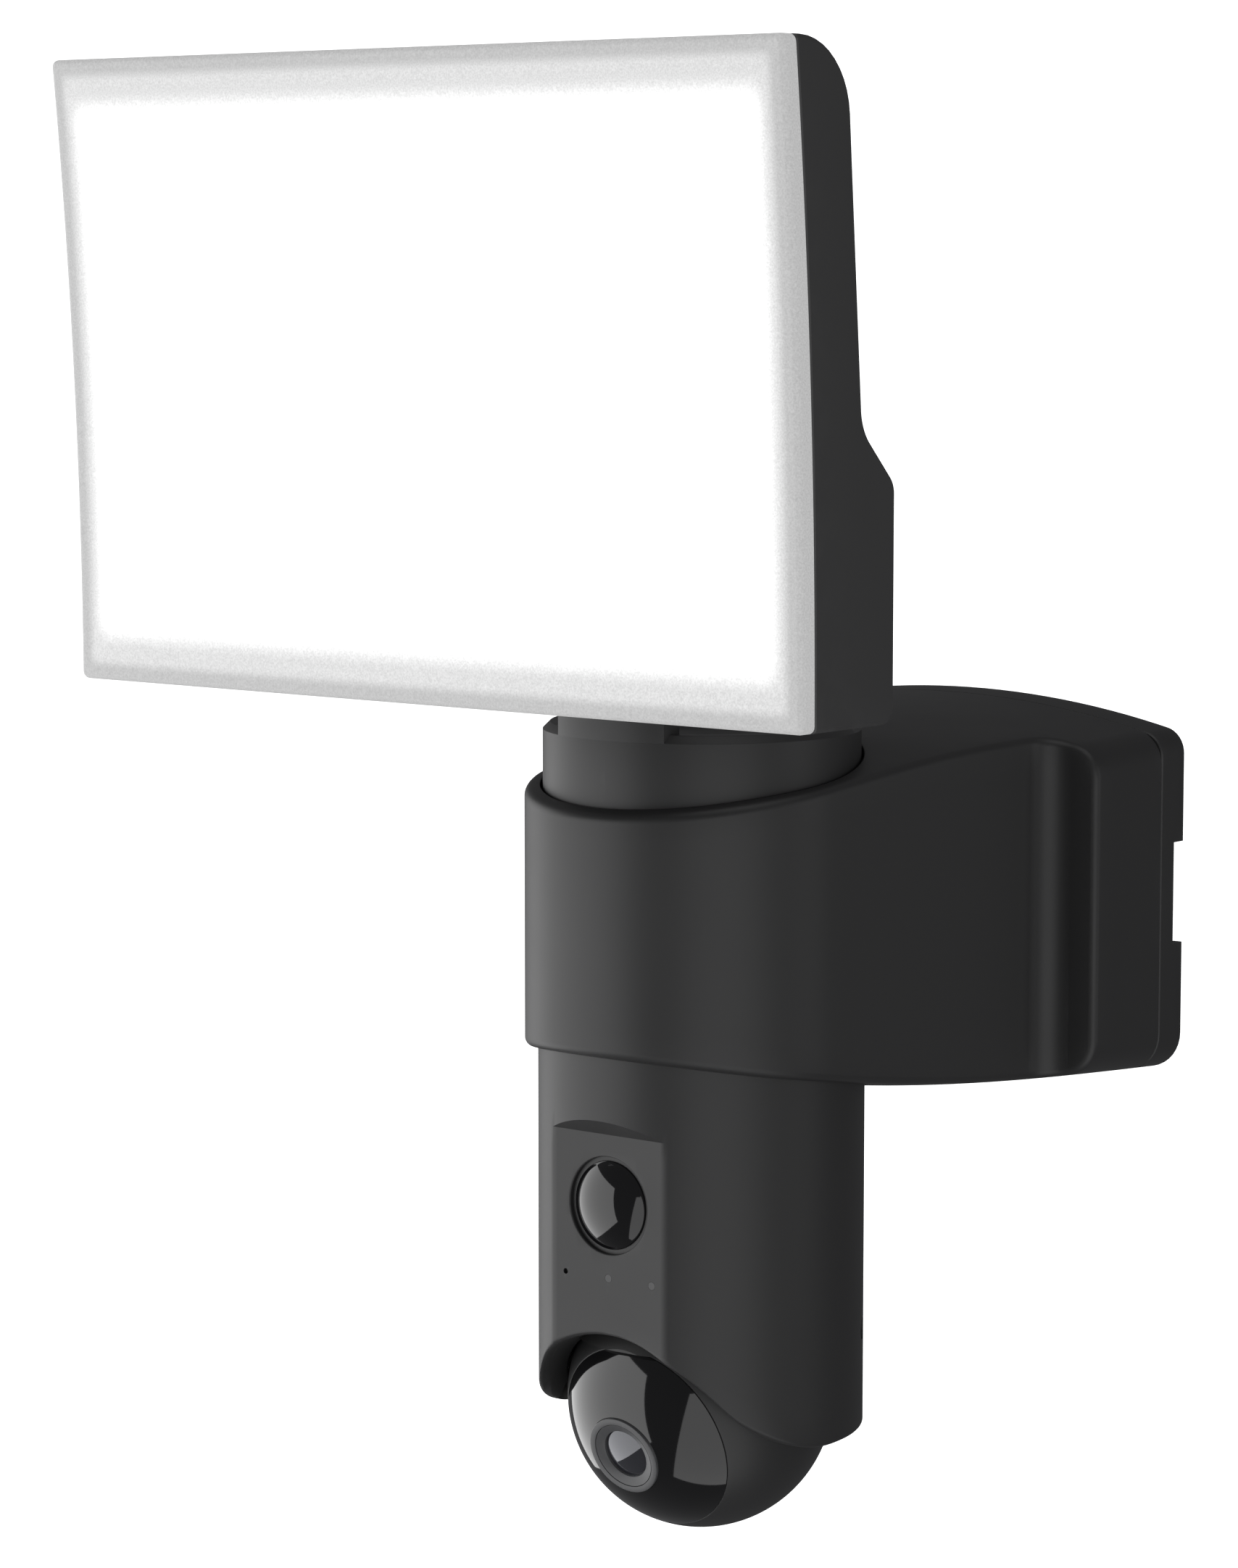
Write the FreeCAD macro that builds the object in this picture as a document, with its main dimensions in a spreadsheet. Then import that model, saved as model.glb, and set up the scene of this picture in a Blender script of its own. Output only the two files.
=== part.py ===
"""Wall-mounted floodlight security camera: lamp panel, arm with wall box, and turning camera head.

Frame: origin on the wall plane at the middle of the wall plate, +X right, +Y into the wall, +Z up.
Lengths are in millimetres.
"""
import FreeCAD, Part
import math
import os
import Sketcher

DOC = FreeCAD.newDocument("floodlight_camera")

DRIVING = {
    "reach": 106, "skin": 2.6, "arch_drop": 7.4, "flange_half": 61, "flange_front": 37.5,
    "arm_root_half": 47.5, "collar_radius": 40, "splay": 6.3, "plate_depth": 10, "plate_recess": 4.5,
    "wall_height": 44.8, "shoulder_height": 36.4, "nose_height": 27, "mid_height": 40.7, "belly": 3.3,
    "top_corner": 8, "plate_corner": 6, "low_corner": 9,
    "web_half": 10, "top_bore": 36.4, "head_bore": 37.5, "tube_outer": 22, "tube_inner": 18,
    "tube_top": 24.2, "notch_half": 12, "bolt_across": 80, "bolt_up": 44, "bolt_hole": 2.6,
    "cable_up": -6.5, "cable_hole": 10,
    "drum_radius": 35.85, "drum_rim": 43.1, "rim_bevel": 1.67, "drum_wall": 4.8, "drum_floor": 20,
    "neck_half": 15, "hinge_out": 51, "hinge_up": 69, "knuckle": 9, "pin_radius": 3, "cheek": 5,
    "lamp_half": 100, "lamp_low": 55.3, "lamp_top": 190.8, "face_low": 202.1, "face_curve": 1294,
    "lens_depth": 4.5, "thick_back": 171.1, "thin_back": 182.1, "top_back": 187.7,
    "step_low": 103.5, "step_high": 114.5,
    "head_radius": 37, "head_skin": 2.6, "head_top": -20, "head_bottom": -115.9,
    "plate_face": 33.4, "plate_top": -44.9, "arch_radius": 31, "arch_centre": -121.4,
    "ear_radius": 36.5, "ear_centre": -79.4,
    "ball_radius": 30.4, "ball_up": -109.6, "ball_skin": 2.2, "cap_offset": 20.5, "lens_tilt": 18,
    "ring_radius": 9.3, "ring_bore": 7.8, "ring_front": 29.6, "window_radius": 5.8,
    "pir_up": -60.9, "pir_radius": 10, "pir_hole": 11, "dots_up": -77.3, "dots_pitch": 12.3, "side_up": -93.3,
    "hub_radius": 12, "hub_bore": 7, "gear_spacing": 29, "gear_low": -17, "gear_high": -12,
    "gear_teeth": 48, "pinion_teeth": 10, "pulley_big": 8, "pulley_small": 4, "tilt_motor_up": -66,
}

SHEET = DOC.addObject("Spreadsheet::Sheet", "size")
for row, (alias, number) in enumerate(DRIVING.items(), start=1):
    SHEET.set("A%d" % row, alias)
    SHEET.set("B%d" % row, str(number))
    SHEET.setAlias("B%d" % row, alias)
DOC.recompute()

TURN = {
    "X": FreeCAD.Rotation(FreeCAD.Vector(0, 1, 0), 90),
    "Y": FreeCAD.Rotation(FreeCAD.Vector(1, 0, 0), -90),
    "Z": FreeCAD.Rotation(),
}
NODES = []


def full(text):
    """Put the sheet's name in front of every alias in an expression."""
    words = []
    word = ""
    for letter in str(text) + " ":
        if letter.isalnum() or letter in "_.":
            word += letter
            continue
        words.append("size." + word if word in DRIVING else word)
        words.append(letter)
        word = ""
    return "".join(words).strip()


def value(text):
    """The number that an expression over the sheet's aliases gives."""
    result = SHEET.evalExpression(full(text))
    return float(getattr(result, "Value", result))


def bind(thing, **sizes):
    """Tie properties of an object to expressions over the sheet."""
    for name, text in sizes.items():
        thing.setExpression(name.replace("__", "."), full(text))
    return thing


def at(thing, x="0", y="0", z="0", turn="Z"):
    """Place an object with its own Z along the axis named by turn."""
    thing.Placement = FreeCAD.Placement(FreeCAD.Vector(value(x), value(y), value(z)), TURN[turn])
    bind(thing, Placement__Base__x=x, Placement__Base__y=y, Placement__Base__z=z)
    return thing


def rod(turn, radius, low, high, first="0", second="0"):
    """A cylinder along X, Y or Z from low to high; first and second are its other two coordinates."""
    thing = bind(DOC.addObject("Part::Cylinder", "rod"), Radius=radius, Height="(%s) - (%s)" % (high, low))
    spot = {"X": (low, first, second), "Y": (first, low, second), "Z": (first, second, low)}[turn]
    return at(thing, *spot, turn=turn)


def cone(turn, radius, tip_radius, low, high, first="0", second="0"):
    """A cone along X, Y or Z, placed as rod places a cylinder."""
    thing = DOC.addObject("Part::Cone", "cone")
    bind(thing, Radius1=radius, Radius2=tip_radius, Height="(%s) - (%s)" % (high, low))
    spot = {"X": (low, first, second), "Y": (first, low, second), "Z": (first, second, low)}[turn]
    return at(thing, *spot, turn=turn)


def ball(radius, x="0", y="0", z="0"):
    """A whole sphere."""
    return at(bind(DOC.addObject("Part::Sphere", "ball"), Radius=radius), x, y, z)


def block(x_low, x_high, y_low, y_high, z_low, z_high):
    """A box between two corners."""
    thing = DOC.addObject("Part::Box", "block")
    bind(thing, Length="(%s) - (%s)" % (x_high, x_low), Width="(%s) - (%s)" % (y_high, y_low))
    bind(thing, Height="(%s) - (%s)" % (z_high, z_low))
    return at(thing, x_low, y_low, z_low)


def join(*things):
    """One solid made of overlapping solids."""
    thing = DOC.addObject("Part::MultiFuse", "join")
    thing.Shapes = list(things)
    return thing


def group(*things):
    """Separate solids kept in one sub-part."""
    thing = DOC.addObject("Part::Compound", "group")
    thing.Links = list(things)
    return thing


def cut(base, *tools):
    """The base with every tool taken away."""
    thing = DOC.addObject("Part::Cut", "cut")
    thing.Base = base
    thing.Tool = tools[0] if len(tools) == 1 else join(*tools)
    return thing


def overlap(*things):
    """What all of the solids share."""
    thing = DOC.addObject("Part::MultiCommon", "overlap")
    thing.Shapes = list(things)
    return thing


def ring(turn, outer, inner, low, high, first="0", second="0"):
    """A tube along X, Y or Z."""
    return cut(rod(turn, outer, low, high, first, second), rod(turn, inner, low, high, first, second))


def sketch(body, plane, corners, offset="0"):
    """A closed outline on one of the body's origin planes, every corner tied to the sheet."""
    face = [part for part in body.Origin.OriginFeatures if part.Role == plane + "_Plane"][0]
    thing = body.newObject("Sketcher::SketchObject", "outline")
    thing.AttachmentSupport = [(face, "")]
    thing.MapMode = "FlatFace"
    bind(thing, AttachmentOffset__Base__z=offset)
    spots = [FreeCAD.Vector(value(across), value(up), 0) for across, up in corners]
    for index, spot in enumerate(spots):
        thing.addGeometry(Part.LineSegment(spot, spots[(index + 1) % len(spots)]), False)
    for index in range(len(spots)):
        following = (index + 1) % len(spots)
        thing.addConstraint(Sketcher.Constraint("Coincident", index, 2, following, 1))
    for index, (across, up) in enumerate(corners):
        for kind, text in (("DistanceX", across), ("DistanceY", up)):
            number = thing.addConstraint(Sketcher.Constraint(kind, index, 1, value(text)))
            thing.setExpression("Constraints[%d]" % number, full(text))
    return thing


def prism(plane, corners, low, high):
    """A padded outline on the XY, XZ or YZ plane, from low to high along that plane's axis."""
    body = DOC.addObject("PartDesign::Body", "prism")
    start = "-(%s)" % high if plane == "XZ" else low
    outline = sketch(body, plane, corners, start)
    pad = body.newObject("PartDesign::Pad", "pad")
    pad.Profile = outline
    bind(pad, Length="(%s) - (%s)" % (high, low))
    outline.Visibility = False
    return body


def turned(corners, x="0", y="0", z="0"):
    """An outline of radius and height pairs revolved about a vertical axis."""
    body = DOC.addObject("PartDesign::Body", "turned")
    outline = sketch(body, "XZ", corners)
    spin = body.newObject("PartDesign::Revolution", "spin")
    spin.Profile = outline
    spin.ReferenceAxis = (outline, ["V_Axis"])
    spin.Angle = 360
    return at(body, x, y, z)


def rounded(base, radius, wanted):
    """The base with every edge that wanted() picks rounded."""
    DOC.recompute()
    thing = DOC.addObject("Part::Fillet", "rounded")
    thing.Base = base
    size = value(radius)
    picked = [number for number, edge in enumerate(base.Shape.Edges, start=1) if wanted(edge)]
    thing.Edges = [(number, size, size) for number in picked]
    return thing


def runs_along(edge, axis):
    """Whether an edge is straight and parallel to axis 0, 1 or 2."""
    if len(edge.Vertexes) != 2:
        return False
    step = edge.Vertexes[1].Point - edge.Vertexes[0].Point
    return abs(abs(step[axis]) - edge.Length) < 1e-6 and step.Length > 1e-6


def near(edge, axis, first, second, slack=0.5):
    """Whether an edge parallel to an axis passes the two given coordinates on the other axes."""
    spot = edge.Vertexes[0].Point
    others = [spot[index] for index in range(3) if index != axis]
    return abs(others[0] - value(first)) < slack and abs(others[1] - value(second)) < slack


def node(name, thing):
    """Give a finished sub-part its name."""
    thing.Label = name
    NODES.append(thing)
    return thing


def mirrored(places, make):
    """One group made by calling make for each place."""
    return group(*[make(*place) for place in places])


AXIS = "-reach"
HINGE_Y = "-reach - hinge_out"


# ---------------------------------------------------------------- arm and wall box
def crowned(inset):
    """The solid between the arm's crowned top and bottom, inset evenly."""
    stations = [
        ("-collar_radius - reach - 6", "nose_height - 1.9", "-0.3 * belly"),
        ("-reach - 19", "nose_height + 6.1", "-0.18 * belly"),
        ("-reach + 1", "shoulder_height", "0"),
        ("-reach + 33", "mid_height", "0.24 * belly"),
        ("-reach + 64", "mid_height + 2.2", "0.6 * belly"),
        ("0", "wall_height", "belly"),
    ]
    half = value("flange_half + 9")
    drop = value("arch_drop") * (half / value("flange_half")) ** 2
    wires = []
    for place, top, sag in stations:
        y = value(place)
        height = value(top) - inset
        depth = height + value(sag)
        corner = [FreeCAD.Vector(side * half, y, level)
                  for side, level in ((-1, height - drop), (1, height - drop), (1, drop - depth), (-1, drop - depth))]
        upper = Part.Arc(corner[0], FreeCAD.Vector(0, y, height), corner[1]).toShape()
        lower = Part.Arc(corner[2], FreeCAD.Vector(0, y, -depth), corner[3]).toShape()
        sides = [Part.makeLine(corner[1], corner[2]), Part.makeLine(corner[3], corner[0])]
        wires.append(Part.Wire([upper, sides[0], lower, sides[1]]))
    thing = DOC.addObject("Part::Feature", "crowned")
    thing.Shape = Part.makeLoft(wires, True, False)
    thing.Placement = FreeCAD.Placement()
    return thing


def arm_plan(inset, front):
    """Half of the arm's outline seen from above, mirrored into a whole one."""
    right = [
        ("collar_radius * cos(splay) - %s" % inset, front),
        ("arm_root_half - %s" % inset, "-flange_front + %s" % inset),
        ("flange_half - %s" % inset, "-flange_front + %s" % inset),
        ("flange_half - %s" % inset, "-plate_depth"),
    ]
    left = [("-(%s)" % across, along) for across, along in reversed(right)]
    return right + left


def arm_housing():
    """The one-piece arm: wall box, tapering arm and the collar round the swivel axis."""
    plan = prism("XY", arm_plan("0", "-reach - collar_radius * sin(splay)"), "-60", "60")
    plan = rounded(plan, "7", lambda e: runs_along(e, 2) and abs(abs(e.Vertexes[0].X) - 47.5) < 0.1)
    collar = rod("Z", "collar_radius", "-60", "60", "0", AXIS)
    outer = overlap(join(plan, collar), crowned(0))
    outer = rounded(outer, "top_corner", lambda e: long_corner(e, "-plate_depth", 1))
    outer = rounded(outer, "low_corner", lambda e: long_corner(e, "-plate_depth", -1))
    hollow = overlap(prism("XY", arm_plan("skin", "-reach + 43"), "-60", "60"), crowned(value("skin")))
    back_wall = rod("Z", "collar_radius + 0.1", "-60", "60", "0", AXIS)
    mouth = block("-flange_half + skin", "flange_half - skin", "-flange_front + skin", "-plate_depth + 1",
                  "-arm_root_half + 12", "arm_root_half - 12")
    bay_top = rod("Z", "top_bore", "web_half", "60", "0", AXIS)
    bay_low = rod("Z", "head_bore", "-60", "-web_half", "0", AXIS)
    hub_way = rod("Z", "hub_radius + 0.08", "-web_half - 1", "web_half + 1", "0", AXIS)
    motor_bay = rod("Z", "14.3", "-web_half - 1", "9.2", "0", AXIS + " + gear_spacing")
    cable_way = rod("Y", "4", "-74", "-60", "0", "15.5")
    shell = cut(outer, cut(hollow, back_wall), mouth, bay_top, bay_low, hub_way, motor_bay, cable_way)
    tube = ring("Z", "tube_outer", "tube_inner", "web_half - 0.5", "tube_top", "0", AXIS)
    clamp_holes = mirrored(SWIVEL_SCREWS, lambda x, y: rod("Z", "1.25", "16", "tube_top + 1", x, y))
    posts = [rod("Z", "3.2", "-50", "-22", x, y) for x, y in BOARD_POSTS]
    posts += [rod("Z", "5", "-50", "-37", x, "-17") for x in LUG_X]
    inside = overlap(join(*posts), crowned(value("skin") - 0.8))
    sinks = mirrored([(x, "-17") for x in LUG_X], lambda x, y: rod("Z", "3.2", "-60", "-40.2", x, y))
    motor_wall = rod("Z", "17", "-web_half", "web_half + 2", "0", AXIS + " + gear_spacing")
    trough = cut(ring("Z", "33.5", "24.5", "-web_half + 3", "web_half + 1", "0", AXIS), motor_wall)
    return cut(join(shell, tube, inside), trough, clamp_holes, BOARD_HOLES, MOTOR_HOLES, LOCK_HOLES, sinks)


def long_corner(edge, end, level):
    """Whether an edge is one of the two between a crowned face, upper or lower, and the box sides."""
    spots = [vertex.Point for vertex in edge.Vertexes]
    if len(spots) != 2 or abs(spots[0].y - spots[1].y) < 5:
        return False
    at_side = all(abs(abs(spot.x) - value("flange_half")) < 0.01 and spot.z * level > 0 for spot in spots)
    return at_side and any(abs(spot.y - value(end)) < 0.01 for spot in spots)


def wall_plate():
    """The plate that is screwed to the wall, with side notches for a surface cable."""
    slab = overlap(block("-flange_half", "flange_half", "-plate_depth", "0", "-60", "60"), crowned(0))
    slab = rounded(slab, "plate_corner", lambda e: long_corner(e, "0", 1))
    slab = rounded(slab, "low_corner", lambda e: long_corner(e, "0", -1))
    rim = overlap(block("-flange_half + skin", "flange_half - skin", "-plate_recess", "1", "-60", "60"),
                  crowned(value("skin")))
    front = overlap(block("-flange_half + skin", "flange_half - skin", "-plate_depth - 1", "-7", "-60", "60"),
                    crowned(value("skin")))
    notches = [block(low, high, "-plate_recess", "1", "-notch_half", "notch_half")
               for low, high in (("-flange_half - 1", "-flange_half + 6.6"), ("flange_half - 6.6", "flange_half + 1"))]
    bosses = [rod("Y", "6", "-plate_depth", "0", x, z) for x, z in WALL_HOLES]
    lugs = [block(x + " - 6", x + " + 6", "-24", "-plate_recess - 1", "-35", "-26") for x in LUG_X]
    holes = [rod("Y", "bolt_hole", "-plate_depth - 1", "1", x, z) for x, z in WALL_HOLES]
    cable = rod("Y", "cable_hole", "-plate_depth - 1", "1", "0", "cable_up")
    lug_holes = [rod("Z", "1.5", "-36", "-25", x, "-17") for x in LUG_X]
    return cut(join(cut(slab, rim, front, *notches), *bosses, *lugs), cable, *holes, *lug_holes)


def wall_gasket():
    """Foam ring against the wall, inside the plate's rim and clear of its notches."""
    outside = overlap(block("-flange_half + 7", "flange_half - 7", "-plate_recess", "0", "-60", "60"),
                      crowned(value("skin + 0.1")))
    inside = overlap(block("-flange_half + 10", "flange_half - 10", "-plate_recess - 1", "1", "-60", "60"),
                     crowned(value("skin + 3")))
    bosses = [rod("Y", "6", "-plate_depth", "1", x, z) for x, z in WALL_HOLES]
    return cut(outside, inside, *bosses)


WALL_HOLES = [("%s * bolt_across / 2" % sx, "%s * bolt_up / 2" % sz) for sx in (-1, 1) for sz in (-1, 1)]
LUG_X = ["-27", "27"]
BOARD_POSTS = [("%d" % x, y) for x in (-34, 34) for y in ("-58", "-32")]
SWIVEL_SCREWS = [("20 * cos(%d)" % angle, "-reach + 20 * sin(%d)" % angle) for angle in (30, 150, 270)]
MOTOR_SCREWS = [("-17", "-reach + gear_spacing"), ("17", "-reach + gear_spacing")]
BOARD_HOLES = mirrored(BOARD_POSTS, lambda x, y: rod("Z", "1.1", "-30", "-21", x, y))
MOTOR_HOLES = mirrored(MOTOR_SCREWS, lambda x, y: rod("Z", "1.1", "-11", "-3", x, y))
LOCK_HOLES = mirrored([(x, "-17") for x in LUG_X], lambda x, y: rod("Z", "1.7", "-60", "-30", x, y))

node("arm_housing", arm_housing())
node("wall_plate", wall_plate())
node("wall_gasket", wall_gasket())


def cable_grommet():
    """Soft bush in the cable hole with a flange on each side of the web."""
    sleeve = rod("Y", "cable_hole", "-8", "-3.5", "0", "cable_up")
    flange = rod("Y", "cable_hole + 2", "-8.6", "-7", "0", "cable_up")
    rear = rod("Y", "cable_hole + 2", "-4.5", "-3.3", "0", "cable_up")
    lip = cone("Y", "6.5", "cable_hole - 1", "-12", "-8.6", "0", "cable_up")
    return cut(join(sleeve, flange, rear, lip), rod("Y", "4", "-13", "0", "0", "cable_up"))


def terminal_block():
    """Three-pole screw terminal on the plate's inner face."""
    body = block("-17", "17", "-22", "-7", "10", "24")
    wells = [rod("Y", "2.4", "-23", "-14.9", x, "17") for x in ("-11", "0", "11")]
    ways = [rod("Z", "2", "9", "25", x, "-11") for x in ("-11", "0", "11")]
    threads = [rod("Y", "1.4", "-16", "-11", x, "17") for x in ("-11", "0", "11")]
    return cut(body, *wells, *ways, *threads)


def screw(turn, shank, head, low, high, first, second, cap):
    """A screw whose head starts at high and is cap tall; a negative cap puts it below low."""
    body = rod(turn, shank, low, high, first, second)
    if cap.startswith("-"):
        top = rod(turn, head, "(%s) + (%s)" % (low, cap), low, first, second)
        slot_low = "(%s) + (%s) - 0.5" % (low, cap)
    else:
        top = rod(turn, head, high, "(%s) + (%s)" % (high, cap), first, second)
        slot_low = "(%s) + (%s) - 0.6" % (high, cap)
    socket = rod(turn, "(%s) * 0.45" % head, slot_low, "(%s) + 1.1" % slot_low, first, second)
    return cut(join(body, top), socket)


node("cable_grommet", cable_grommet())
node("terminal_block", terminal_block())
node("terminal_screws", mirrored([("-11",), ("0",), ("11",)],
                                 lambda x: screw("Y", "1.4", "2.2", "-14.9", "-12", x, "17", "-2")))
node("driver_board", cut(block("-36", "36", "-60", "-28", "-22", "-20.4"),
                         mirrored(BOARD_POSTS, lambda x, y: rod("Z", "1.3", "-23", "-20", x, y))))
node("board_screws", mirrored(BOARD_POSTS, lambda x, y: screw("Z", "1.1", "2.2", "-28", "-20.4", x, y, "1.6")))
node("transformer", join(block("-26", "-4", "-56", "-36", "-20.4", "-14"),
                         block("-23", "-7", "-60", "-32", "-18", "-2"),
                         block("-25", "-5", "-54", "-38", "-14", "-4")))
node("smoothing_capacitors", mirrored([("6", "-52"), ("6", "-39"), ("19", "-46")],
                                      lambda x, y: rod("Z", "5", "-20.4", "2", x, y)))
node("lock_screws", mirrored([(x,) for x in LUG_X],
                             lambda x: screw("Z", "1.5", "3", "-40.2", "-27", x, "-17", "-2.2")))


def pan_motor():
    """Can motor that turns the camera head, held by two ears under the web."""
    can = rod("Z", "14", "-web_half", "8.7", "0", AXIS + " + gear_spacing")
    ears = block("-19.8", "19.8", "-reach + gear_spacing - 2.6", "-reach + gear_spacing + 2.6",
                 "-web_half - 1", "-web_half")
    holes = mirrored(MOTOR_SCREWS, lambda x, y: rod("Z", "1.2", "-12", "-9", x, y))
    return cut(join(can, ears), holes, rod("Z", "1.56", "-12", "-5", "0", AXIS + " + gear_spacing"))


node("pan_motor", pan_motor())
node("pan_motor_screws", mirrored(MOTOR_SCREWS,
                                  lambda x, y: screw("Z", "1.1", "2", "-11", "-4", x, y, "-1.4")))
node("swivel_clamp_ring", cut(ring("Z", "27", "14", "tube_top", "tube_top + 3", "0", AXIS),
                              mirrored(SWIVEL_SCREWS, lambda x, y: rod("Z", "1.6", "20", "30", x, y))))
node("swivel_screws", mirrored(SWIVEL_SCREWS, lambda x, y: screw("Z", "1.25", "2.5", "17", "tube_top + 3",
                                                                 x, y, "2")))
node("friction_washer", ring("Z", "27", "tube_outer + 0.1", "drum_floor + 3.5", "tube_top", "0", AXIS))


# ---------------------------------------------------------------- lamp swivel
def swivel_drum():
    """Cup that turns in the arm's collar, with the lamp's neck standing on its front wall."""
    inner = "drum_radius - drum_wall"
    cup = turned([
        ("tube_outer + 0.08", "drum_floor"), ("drum_radius", "drum_floor"), ("drum_radius", "drum_rim"),
        ("drum_radius - rim_bevel", "drum_rim + rim_bevel"), (inner, "drum_rim + rim_bevel"),
        (inner, "drum_floor + 3.4"), ("tube_outer + 0.08", "drum_floor + 3.4"),
    ], "0", AXIS)
    groove = ring("Z", "drum_radius + 1", "drum_radius - 1.2", "26", "28", "0", AXIS)
    front = overlap(block("-neck_half", "neck_half", "-reach - 40", "-reach - 31.04", "32", "66"),
                    rod("Z", "drum_radius", "30", "70", "0", AXIS))
    lug = prism("YZ", [
        ("-reach - 31.04", "58"), ("-reach - 31.04", "hinge_up + 4"), (HINGE_Y, "hinge_up + knuckle - 0.1"),
        (HINGE_Y, "hinge_up - knuckle + 0.1"), ("-reach - 35.5", "58"),
    ], "-neck_half", "neck_half")
    barrel = rod("X", "knuckle", "-neck_half", "neck_half", HINGE_Y, "hinge_up")
    bore = rod("X", "pin_radius", "-neck_half - 1", "neck_half + 1", HINGE_Y, "hinge_up")
    seat = rod("Z", "drum_radius - drum_wall + 0.02", "25", "80", "0", AXIS)
    return cut(join(cut(cup, groove), cut(front, seat), lug, barrel), bore)


node("swivel_drum", swivel_drum())
node("drum_cap", rod("Z", "drum_radius - drum_wall", "38.5", "41", "0", AXIS))
node("swivel_seal", ring("Z", "drum_radius + 0.2", "drum_radius - 1.2", "26", "28", "0", AXIS))
node("tilt_bolt", screw("X", "pin_radius", "5", "-neck_half - cheek - 3.5", "neck_half + cheek + 0.6",
                        HINGE_Y, "hinge_up", "3.5"))


def tilt_nut():
    """Hexagon nut on the tilt bolt's far end."""
    corners = [("%s + 5.2 * cos(%d)" % (HINGE_Y, 60 * k), "hinge_up + 5.2 * sin(%d)" % (60 * k)) for k in range(6)]
    body = prism("YZ", corners, "-neck_half - cheek - 4.4", "-neck_half - cheek - 0.6")
    return cut(body, rod("X", "pin_radius", "-40", "0", HINGE_Y, "hinge_up"))


node("tilt_nut", tilt_nut())


# ---------------------------------------------------------------- lamp head
def big_roll(back):
    """The large cylinder whose side is the lamp's hollow face, moved back by a distance."""
    return rod("X", "face_curve", "-lamp_half - 20", "lamp_half + 20", "-face_low - face_curve + %s" % back,
               "lamp_low")


def lamp_block(inset, fillets):
    """The lamp's side profile between its ends, inset evenly, with rounded corners."""
    corners = [
        ("-face_low - 20", "lamp_low + %s" % inset), ("-thick_back - %s" % inset, "lamp_low + %s" % inset),
        ("-thick_back - %s" % inset, "step_low - 0.4 * %s" % inset),
        ("-thin_back - %s" % inset, "step_high - 0.4 * %s" % inset),
        ("-top_back - %s" % inset, "lamp_top - %s" % inset), ("-face_low - 20", "lamp_top - %s" % inset),
    ]
    base = prism("YZ", corners, "-lamp_half + %s" % inset, "lamp_half - %s" % inset)
    for (across, up), radius in zip(corners[1:5], fillets):
        base = rounded(base, radius, lambda e, a=across, u=up: runs_along(e, 0) and near(e, 0, a, u, 0.2))
    return base


def lamp_housing():
    """Rear shell of the lamp with screw posts and the two cheeks of the tilt hinge."""
    outer = cut(lamp_block("0", ("3.5", "5", "10", "16")), big_roll("lens_depth"))
    inner = lamp_block("skin", ("1", "2.4", "12", "13.4"))
    cheeks = []
    for low, high in (("neck_half + 0.6", "neck_half + 0.6 + cheek"),
                      ("-neck_half - 0.6 - cheek", "-neck_half - 0.6")):
        web = prism("YZ", [
            ("-thick_back - 1", "hinge_up - 11"), (HINGE_Y, "hinge_up - knuckle + 0.1"),
            (HINGE_Y, "hinge_up + knuckle - 0.1"), ("-thick_back - 1", "hinge_up + 13"),
        ], low, high)
        cheeks.append(join(web, rod("X", "knuckle", low, high, HINGE_Y, "hinge_up")))
    bore = rod("X", "pin_radius + 0.06", "-30", "30", HINGE_Y, "hinge_up")
    posts = [rod("Y", "3.5", "%s + 0.17" % face, back, x, z) for x, z, face, back in LAMP_POSTS]
    holes = [rod("Y", "1.3", "-200", "-160", x, z) for x, z, _, _ in LAMP_POSTS]
    wells = [rod("Y", "2.9", "%s - 1.7" % skin, "-160", x, z) for x, z, _, skin in LAMP_POSTS]
    return cut(join(cut(outer, inner), *cheeks, *posts), bore, *holes, *wells)


def slope_y(z):
    """How far out the slanted LED plane stands at a height."""
    return "-192 - (%s - 60) * 0.047" % z


def slab(back, depth, low, high, half):
    """A plate parallel to the LED plane."""
    return prism("YZ", [
        ("%s - %s" % (slope_y(low), back), low), ("%s - %s" % (slope_y(high), back), high),
        ("%s - %s - %s" % (slope_y(high), back, depth), high), ("%s - %s - %s" % (slope_y(low), back, depth), low),
    ], "-(%s)" % half, half)


LAMP_POSTS = [
    (x, z, slope_y(z), back)
    for x in ("-78", "78")
    for z, back in (("76", "-thick_back - 1"), ("134", "-thin_back - 3"), ("172", "-top_back - 0.6"))
]

node("lamp_housing", lamp_housing())


def lamp_lens():
    """Diffuser tray whose face is hollowed by the large roll."""
    whole = block("-lamp_half", "lamp_half", "-face_low - 20", "-face_low + 12", "lamp_low", "lamp_top")
    whole = rounded(whole, "1.6", lambda e: runs_along(e, 1))
    tray = cut(overlap(whole, big_roll("lens_depth")), big_roll("0"))
    room = block("-lamp_half + skin", "lamp_half - skin", "-face_low - 25", "-face_low + 20",
                 "lamp_low + skin", "lamp_top - skin")
    return cut(tray, cut(room, big_roll("2")))


node("lamp_lens", lamp_lens())


def lens_gasket():
    """Rubber ring inside the joint between diffuser and rear shell."""
    outside = block("-lamp_half + skin", "lamp_half - skin", "-face_low - 20", "-face_low + 20",
                    "lamp_low + skin", "lamp_top - skin")
    inside = block("-lamp_half + skin + 1.6", "lamp_half - skin - 1.6", "-face_low - 25", "-face_low + 25",
                   "lamp_low + skin + 1.6", "lamp_top - skin - 1.6")
    return cut(overlap(cut(outside, inside), big_roll("lens_depth + 1.8")), big_roll("lens_depth - 1.8"))


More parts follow.
